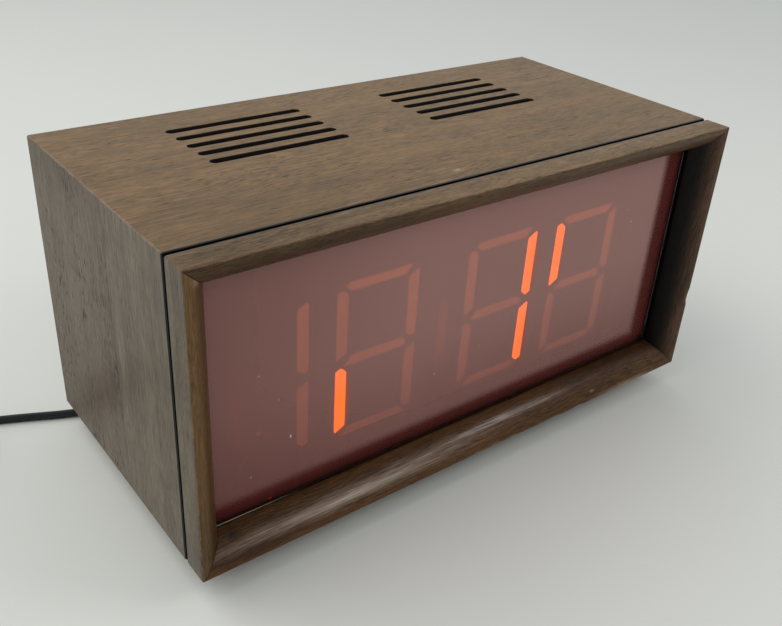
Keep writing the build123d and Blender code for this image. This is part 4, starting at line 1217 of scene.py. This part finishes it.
@dataclass
class FrontFrame:
    """The four mitred mouldings, with their dents, and the pins that line them up; sizes in mm."""

    width: float = 16.0
    depth: float = 16.1
    side_places: tuple[float, ...] = (12.0, 8.0, 4.0, 2.0)
    edge_round: float = 1.0
    edge_steps: int = 6
    lip_places: tuple[float, ...] = (1.8, 2.6)
    lip_width: float = 3.4
    lip_drop: float = 0.7
    mid_width: float = 9.2
    mid_depth: float = 4.6
    slope_steps: int = 18
    gap: float = 0.17
    rings: int = 150
    end_places: tuple[float, ...] = (0.0, 0.15, 0.35, 0.7, 1.1)
    ding_squash: float = 2.2
    ding_edge: float = 1.0
    # Painted shade: the mouldings' rear edges are black to this depth, darkening the gap behind the frame.
    rear_shade: float = 0.4
    plain_wood: tuple[Colour, Colour] = ((0.222, 0.140, 0.075), (0.106, 0.066, 0.034))
    greyed_wood: tuple[Colour, Colour] = ((0.168, 0.135, 0.096), (0.088, 0.070, 0.050))
    dings: tuple[Ding, ...] = (
        Ding(Side.RIGHT, 69.5, 0.4, 7.5, 0.6),
        Ding(Side.RIGHT, 66.5, 0.6, 2.6, 0.35),
        Ding(Side.BOTTOM, 99.8, 6.0, 3.0, 0.35),
        Ding(Side.BOTTOM, 153.5, 8.5, 2.4, 0.3),
        Ding(Side.BOTTOM, 62.0, 0.5, 9.0, 0.45),
        Ding(Side.BOTTOM, 86.0, 0.6, 6.0, 0.4),
        Ding(Side.BOTTOM, 28.0, 0.5, 5.0, 0.3),
        Ding(Side.TOP, -52.0, 0.5, 5.0, 0.25),
        Ding(Side.TOP, 88.0, 0.6, 4.0, 0.25),
        Ding(Side.LEFT, 118.0, 0.5, 5.0, 0.25),
    )
    patches: dict[Side, tuple[Patch, ...]] = field(default_factory=lambda: {
        Side.BOTTOM: (
            # Painted highlight: a streaky sheen along the bottom moulding's sloped face, where a window shines
            # in its lacquer.
            Patch(
                (-85.0, -86.5, 24.8), (240.0, 40.0, 9.0), (0.38, 0.31, 0.26), ragged=0.9,
                streaks=(45.0, 1100.0, 1100.0),
            ),
            Patch(
                (-95.0, -86.5, 24.4), (190.0, 40.0, 7.0), (0.52, 0.45, 0.39), ragged=1.25,
                streaks=(60.0, 1500.0, 1500.0),
            ),
            Patch(
                (25.0, -83.5, 27.8), (175.0, 40.0, 4.4), (0.60, 0.53, 0.50), ragged=1.15,
                streaks=(38.0, 1300.0, 1300.0),
            ),
            stain_and_shade((-152.0, -88.5, 20.6), (50.0, 40.0, 5.0), (0.50, 0.50, 0.56)),
            # Painted shade: the right end of the inner part, in the right stile's shade.
            stain_and_shade((140.0, -77.0, 31.0), (110.0, 40.0, 9.0), (0.60, 0.50, 0.42)),
            # Painted shade: near black in the inner lower-left corner.
            Patch((-161.0, -80.0, 28.5), (7.0, 9.0, 5.0), (0.012, 0.006, 0.005), 0.85, ragged=0.3),
            Patch((99.8, -89.0, 21.8), (4.0, 6.0, 1.5), (0.17, 0.135, 0.105), ragged=0.3),
            Patch(
                (131.0, -91.0, 17.0), (70.0, 40.0, 4.6), (0.36, 0.26, 0.17), 0.85, ragged=0.7,
                streaks=(160.0, 1500.0, 1500.0),
            ),
            Patch(
                (20.0, -91.0, 16.6), (130.0, 40.0, 3.4), (0.33, 0.24, 0.155), 0.8, ragged=0.9,
                streaks=(130.0, 1500.0, 1500.0),
            ),
        ),
        Side.TOP: (
            stain_and_shade((-150.0, -85.0, 188.0), (130.0, 60.0, 60.0), (0.72, 0.73, 0.74)),
            stain_and_shade((80.0, -94.0, 180.0), (210.0, 9.0, 9.5), (0.52, 0.47, 0.44)),
        ),
        Side.LEFT: (
            Patch((-175.5, -88.0, 180.5), (7.0, 8.0, 6.0), (0.34, 0.23, 0.12), 0.85, ragged=0.6),
            Patch((-178.2, -90.0, 176.0), (1.2, 3.0, 1.0), (0.04, 0.028, 0.02), 0.9, ragged=0.5),
            stain_and_shade((-174.0, -84.0, 22.0), (14.0, 40.0, 50.0), (0.60, 0.64, 0.72)),
        ),
    })

    def section(self) -> list[tuple[float, float, float, float]]:
        """The moulding's outline from its rear outer edge over the front to the rear inner edge.

        Returns:
            Points in millimetres: inwards, backwards, and the direction into the wood.
        """
        edge = self.edge_round
        points = [(0.0, back) for back in (self.depth, *self.side_places)]
        for step in range(self.edge_steps + 1):
            angle = math.pi + math.pi / 2 * step / self.edge_steps
            points.append((edge + edge * math.cos(angle), edge + edge * math.sin(angle)))
        parts = len(self.lip_places) + 1
        points += [(place, self.lip_drop * part / parts) for part, place in enumerate(self.lip_places, 1)]
        points += three_point_arc(
            (self.lip_width, self.lip_drop), (self.mid_width, self.mid_depth), (self.width, self.depth),
            self.slope_steps,
        )
        outline = []
        for index, point in enumerate(points):
            before, after = points[max(index - 1, 0)], points[min(index + 1, len(points) - 1)]
            along = Vector((after[0] - before[0], after[1] - before[1])).normalized()
            outline.append((*point, -along.y, along.x))
        return outline

    def stations(self, length: float) -> list[float]:
        """The rings' places along a moulding, as shares of its length, closer at its ends."""
        ends = [place / length for place in self.end_places]
        middle = [ends[-1] + (1 - 2 * ends[-1]) * step / self.rings for step in range(1, self.rings)]
        return ends + middle + [1 - share for share in reversed(ends)]

    def dent(self, side: Side, along: float, inwards: float, back: float) -> float:
        """How far the wood is dented at a place, in millimetres."""
        total = 0.0
        for ding in self.dings:
            if ding.side is side:
                behind = max(0.0, back - ding.inwards - self.ding_edge) if inwards < self.ding_edge else 0.0
                across = self.ding_squash * (inwards - ding.inwards)
                away = math.hypot(along - ding.along, across, behind) / ding.reach
                total += ding.depth * max(0.0, 1.0 - away * away) ** 2
        return total

    def corner_round(self, near_end: float) -> float:
        """How far in the outer face is at a distance from the frame's corner, in millimetres."""
        edge = self.edge_round
        if near_end >= edge:
            return 0.0
        return edge - math.sqrt(max(edge * edge - (edge - near_end) ** 2, 0.0))

    def moulding(self, side: Side, low: Point, high: Point) -> bpy.types.Mesh:
        """Builds one moulding.

        Args:
            side: which one it is.
            low: the frame's lowest corner in metres.
            high: its highest corner.

        Returns:
            The mesh, in place.
        """
        axis = 0 if side in (Side.TOP, Side.BOTTOM) else 2
        start, end, front = low[axis] / MM, high[axis] / MM, low[1] / MM
        from_high = side in (Side.TOP, Side.RIGHT)
        outer = (high if from_high else low)[2 - axis] / MM
        outline, rows = self.section(), []
        for share in self.stations(end - start):
            row = []
            for inwards, back, in_x, in_y in outline:
                first = start + inwards + self.gap
                along = first + share * (end - inwards - self.gap - first)
                sunk = self.dent(side, along, inwards, back)
                across = max(inwards + in_x * sunk, self.corner_round(min(along - start, end - along)))
                deep = min(max(back + in_y * sunk, 0.0), self.depth)
                face = outer - across if from_high else outer + across
                place = (along, front + deep, face) if axis == 0 else (face, front + deep, along)
                row.append(tuple(value * MM for value in place))
            rows.append(row)
        return loft(side.value + "_mesh", rows, seam=False)

    def finish(self, side: Side, rear: float) -> WalnutFinish:
        """The wood of one moulding: each has its own stretch of grain and is stained to its own depth, with
        painted light and shade in the tones of its sloped face and inner part.

        Args:
            side: which one it is.
            rear: where its rear edge is, in metres; the edge is black, as painted shade for the gap behind the
                frame.

        Returns:
            Its finish.
        """
        plain, greyed = self.plain_wood, self.greyed_wood
        # The tones of each sloped face are its darker finish mixed with painted light and shade, lighter or
        # darker for each side as the light falls; the inner tones are painted shade towards the panel.
        tones = {
            Side.TOP: MouldingTones(*plain, (0.58, 0.51, 0.45), (0.6, 0.6, 0.6), (8.0, 12.0)),
            Side.BOTTOM: MouldingTones(*plain, (0.47, 0.345, 0.25), (0.8, 0.74, 0.62), (9.0, 13.0)),
            Side.LEFT: MouldingTones(*greyed, (1.0, 0.68, 0.36), (0.62, 0.55, 0.52), (5.0, 10.0), 0.4, 2.2),
            # Painted shade: the right stile's inner part is nearly black.
            Side.RIGHT: MouldingTones(*plain, (0.60, 0.53, 0.60), (0.03, 0.035, 0.045), (0.5, 13.5)),
        }
        wood, number, black = tones[side], list(Side).index(side), self.rear_shade * MM
        grain = Grain.ALONG_X if side in (Side.TOP, Side.BOTTOM) else Grain.ALONG_Z
        return WalnutFinish(
            f"Walnut moulding {number + 1}", grain, wood.light, wood.dark, figure=1.8, pores=wood.pores,
            fibres=wood.fibres, wear=0.35, wear_reach=0.7 * MM, roughness=0.37, specular=0.12, short=2.0,
            slope=wood.slope, slope_gloss=0.1, inner=wood.inner,
            inner_shade_depth=tuple(depth * MM for depth in wood.inner_shade_depth),
            shift=(0.21 * number, 0.13 * number, 0.37 * number), patches=self.patches.get(side, ()),
            shade_boxes=(((-FAR, rear - black, -FAR), (FAR, rear + black, FAR)),),
        )

    def build(self, nodes: Nodes) -> None:
        """Makes the mouldings over their CAD nodes."""
        low, high = joint_box(*(side.value for side in Side))
        for side in Side:
            material = self.finish(side, high[1]).material(low, high)
            mesh = self.moulding(side, low, high)
            piece = new_piece("moulding_" + side.name.lower(), mesh, "clock", material)
            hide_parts(side.value)
        pins = PlainFinish("Beech pins", (0.5, 0.36, 0.22), 0.6, 200.0, 0.4)
        dress(nodes, {"frame_pins": pins.material()})


@dataclass
class Display:
    """The smoked panel, the mask, the bars and what lights them."""

    finishes: dict[str, PlainFinish | BarFinish] = field(default_factory=lambda: {
        "display_mask": PlainFinish("Mask", (0.055, 0.02, 0.02), 0.8, 20.0, 0.2),
        "colon_bar": BarFinish("Faint bar", (0.33, 0.05, 0.033)),
        "pm_lens": BarFinish("Faint lens", (0.24, 0.065, 0.042)),
        "glowing_bars": BarFinish("Glowing bars", (0.9, 0.2, 0.02), strength=2.08),
        "light_block": PlainFinish("White block", (0.5, 0.5, 0.48), 0.6),
        "lamp_board": PlainFinish("Lamp board", (0.06, 0.12, 0.05), 0.4),
        "lamps": PlainFinish("Lamp glass", (0.55, 0.5, 0.45), 0.1, 90.0, 0.15),
        "display_cleats": PlainFinish("Pine cleats", (0.5, 0.35, 0.2), 0.7, 40.0, 0.5),
    })
    dull_bars: BarFinish = BarFinish("Dull bars", (0.9, 0.205, 0.048), shade_ramp=0.4)
    digits: int = 4

    def dress(self, nodes: Nodes) -> None:
        """Gives the display's pieces their finishes."""
        low, high = joint_box(*(side.value for side in Side))
        border = FrontFrame.width * MM
        seen = (low[0] + border, low[1], low[2] + border), (high[0] - border, high[1], high[2] - border)
        dull = self.dull_bars.material()
        dress(nodes, {"display_filter": SmokedPanelFinish().material(*seen)})
        dress(nodes, {f"digit_{number + 1}_bars": dull for number in range(self.digits)})
        dress(nodes, {name: finish.material() for name, finish in self.finishes.items()})


@dataclass
class Works:
    """Everything inside the case and the small parts at its back and feet: each finish and its nodes."""

    finishes: tuple[tuple[PlainFinish, tuple[str, ...]], ...] = (
        (PlainFinish("Circuit board", (0.05, 0.11, 0.045), 0.35, 90.0, 0.3), ("main_board",)),
        (
            PlainFinish("Black plastic", (0.018, 0.018, 0.02), 0.45, 90.0, 0.3, dust=0.1),
            (
                "clock_chip", "driver_transistors", "rectifier_diodes", "switch_bodies", "fast_set_button",
                "slow_set_button", "strain_relief", "coil_tie", "plug_body",
            ),
        ),
        (
            PlainFinish("White plastic", (0.62, 0.6, 0.54), 0.4, 50.0, 0.12),
            ("board_spacers", "ribbon_sockets"),
        ),
        (PlainFinish("Resistor body", (0.42, 0.28, 0.15), 0.5, 200.0, 0.3), ("resistors",)),
        (PlainFinish("Capacitor sleeve", (0.03, 0.07, 0.25), 0.3, 90.0, 0.2), ("smoothing_capacitor",)),
        (PlainFinish("Ribbon", (0.32, 0.33, 0.34), 0.5, 100.0, 0.15), ("ribbon_cable",)),
        (PlainFinish("Core steel", (0.2, 0.2, 0.2), 0.45, 150.0, 0.4, 0.8), ("transformer_core",)),
        (PlainFinish("Winding tape", (0.5, 0.36, 0.08), 0.45, 70.0, 0.3), ("transformer_winding",)),
        (
            PlainFinish("Plated steel", (0.56, 0.55, 0.52), 0.3, 120.0, 0.3, 1.0),
            (
                "board_screws", "transformer_strap", "transformer_screws", "switch_nuts",
                "rear_panel_screws", "foot_screws", "display_screws",
            ),
        ),
        (
            PlainFinish("Foot rubber", (0.022, 0.022, 0.021), 0.75, 120.0, 0.4, grit=0.3, dust=0.15),
            ("feet",),
        ),
        (PlainFinish("Lead sleeve", (0.014, 0.014, 0.015), 0.45, 100.0, 0.3), ("inner_lead",)),
        (PlainFinish("Brass blades", (0.62, 0.47, 0.24), 0.28, 130.0, 0.3, 1.0), ("plug_blades",)),
    )

    def dress(self, nodes: Nodes) -> None:
        """Gives each piece the material of its finish."""
        for finish, names in self.finishes:
            dress(nodes, dict.fromkeys(names, finish.material()))


def main() -> None:
    """Builds the scene: the camera and the lead first, then every sub-assembly's finish."""
    logging.basicConfig(level=logging.INFO, format="%(name)s: %(message)s")
    bpy.context.scene.view_settings.view_transform = "Standard"
    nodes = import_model()["nodes"]
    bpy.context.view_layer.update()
    studio = Studio()
    studio.camera()
    TwinLead().build()
    studio.floor()
    studio.sky()
    studio.light()
    CaseBoards().dress(nodes)
    FrontFrame().build(nodes)
    Display().dress(nodes)
    Works().dress(nodes)


if __name__ == "__main__":
    main()
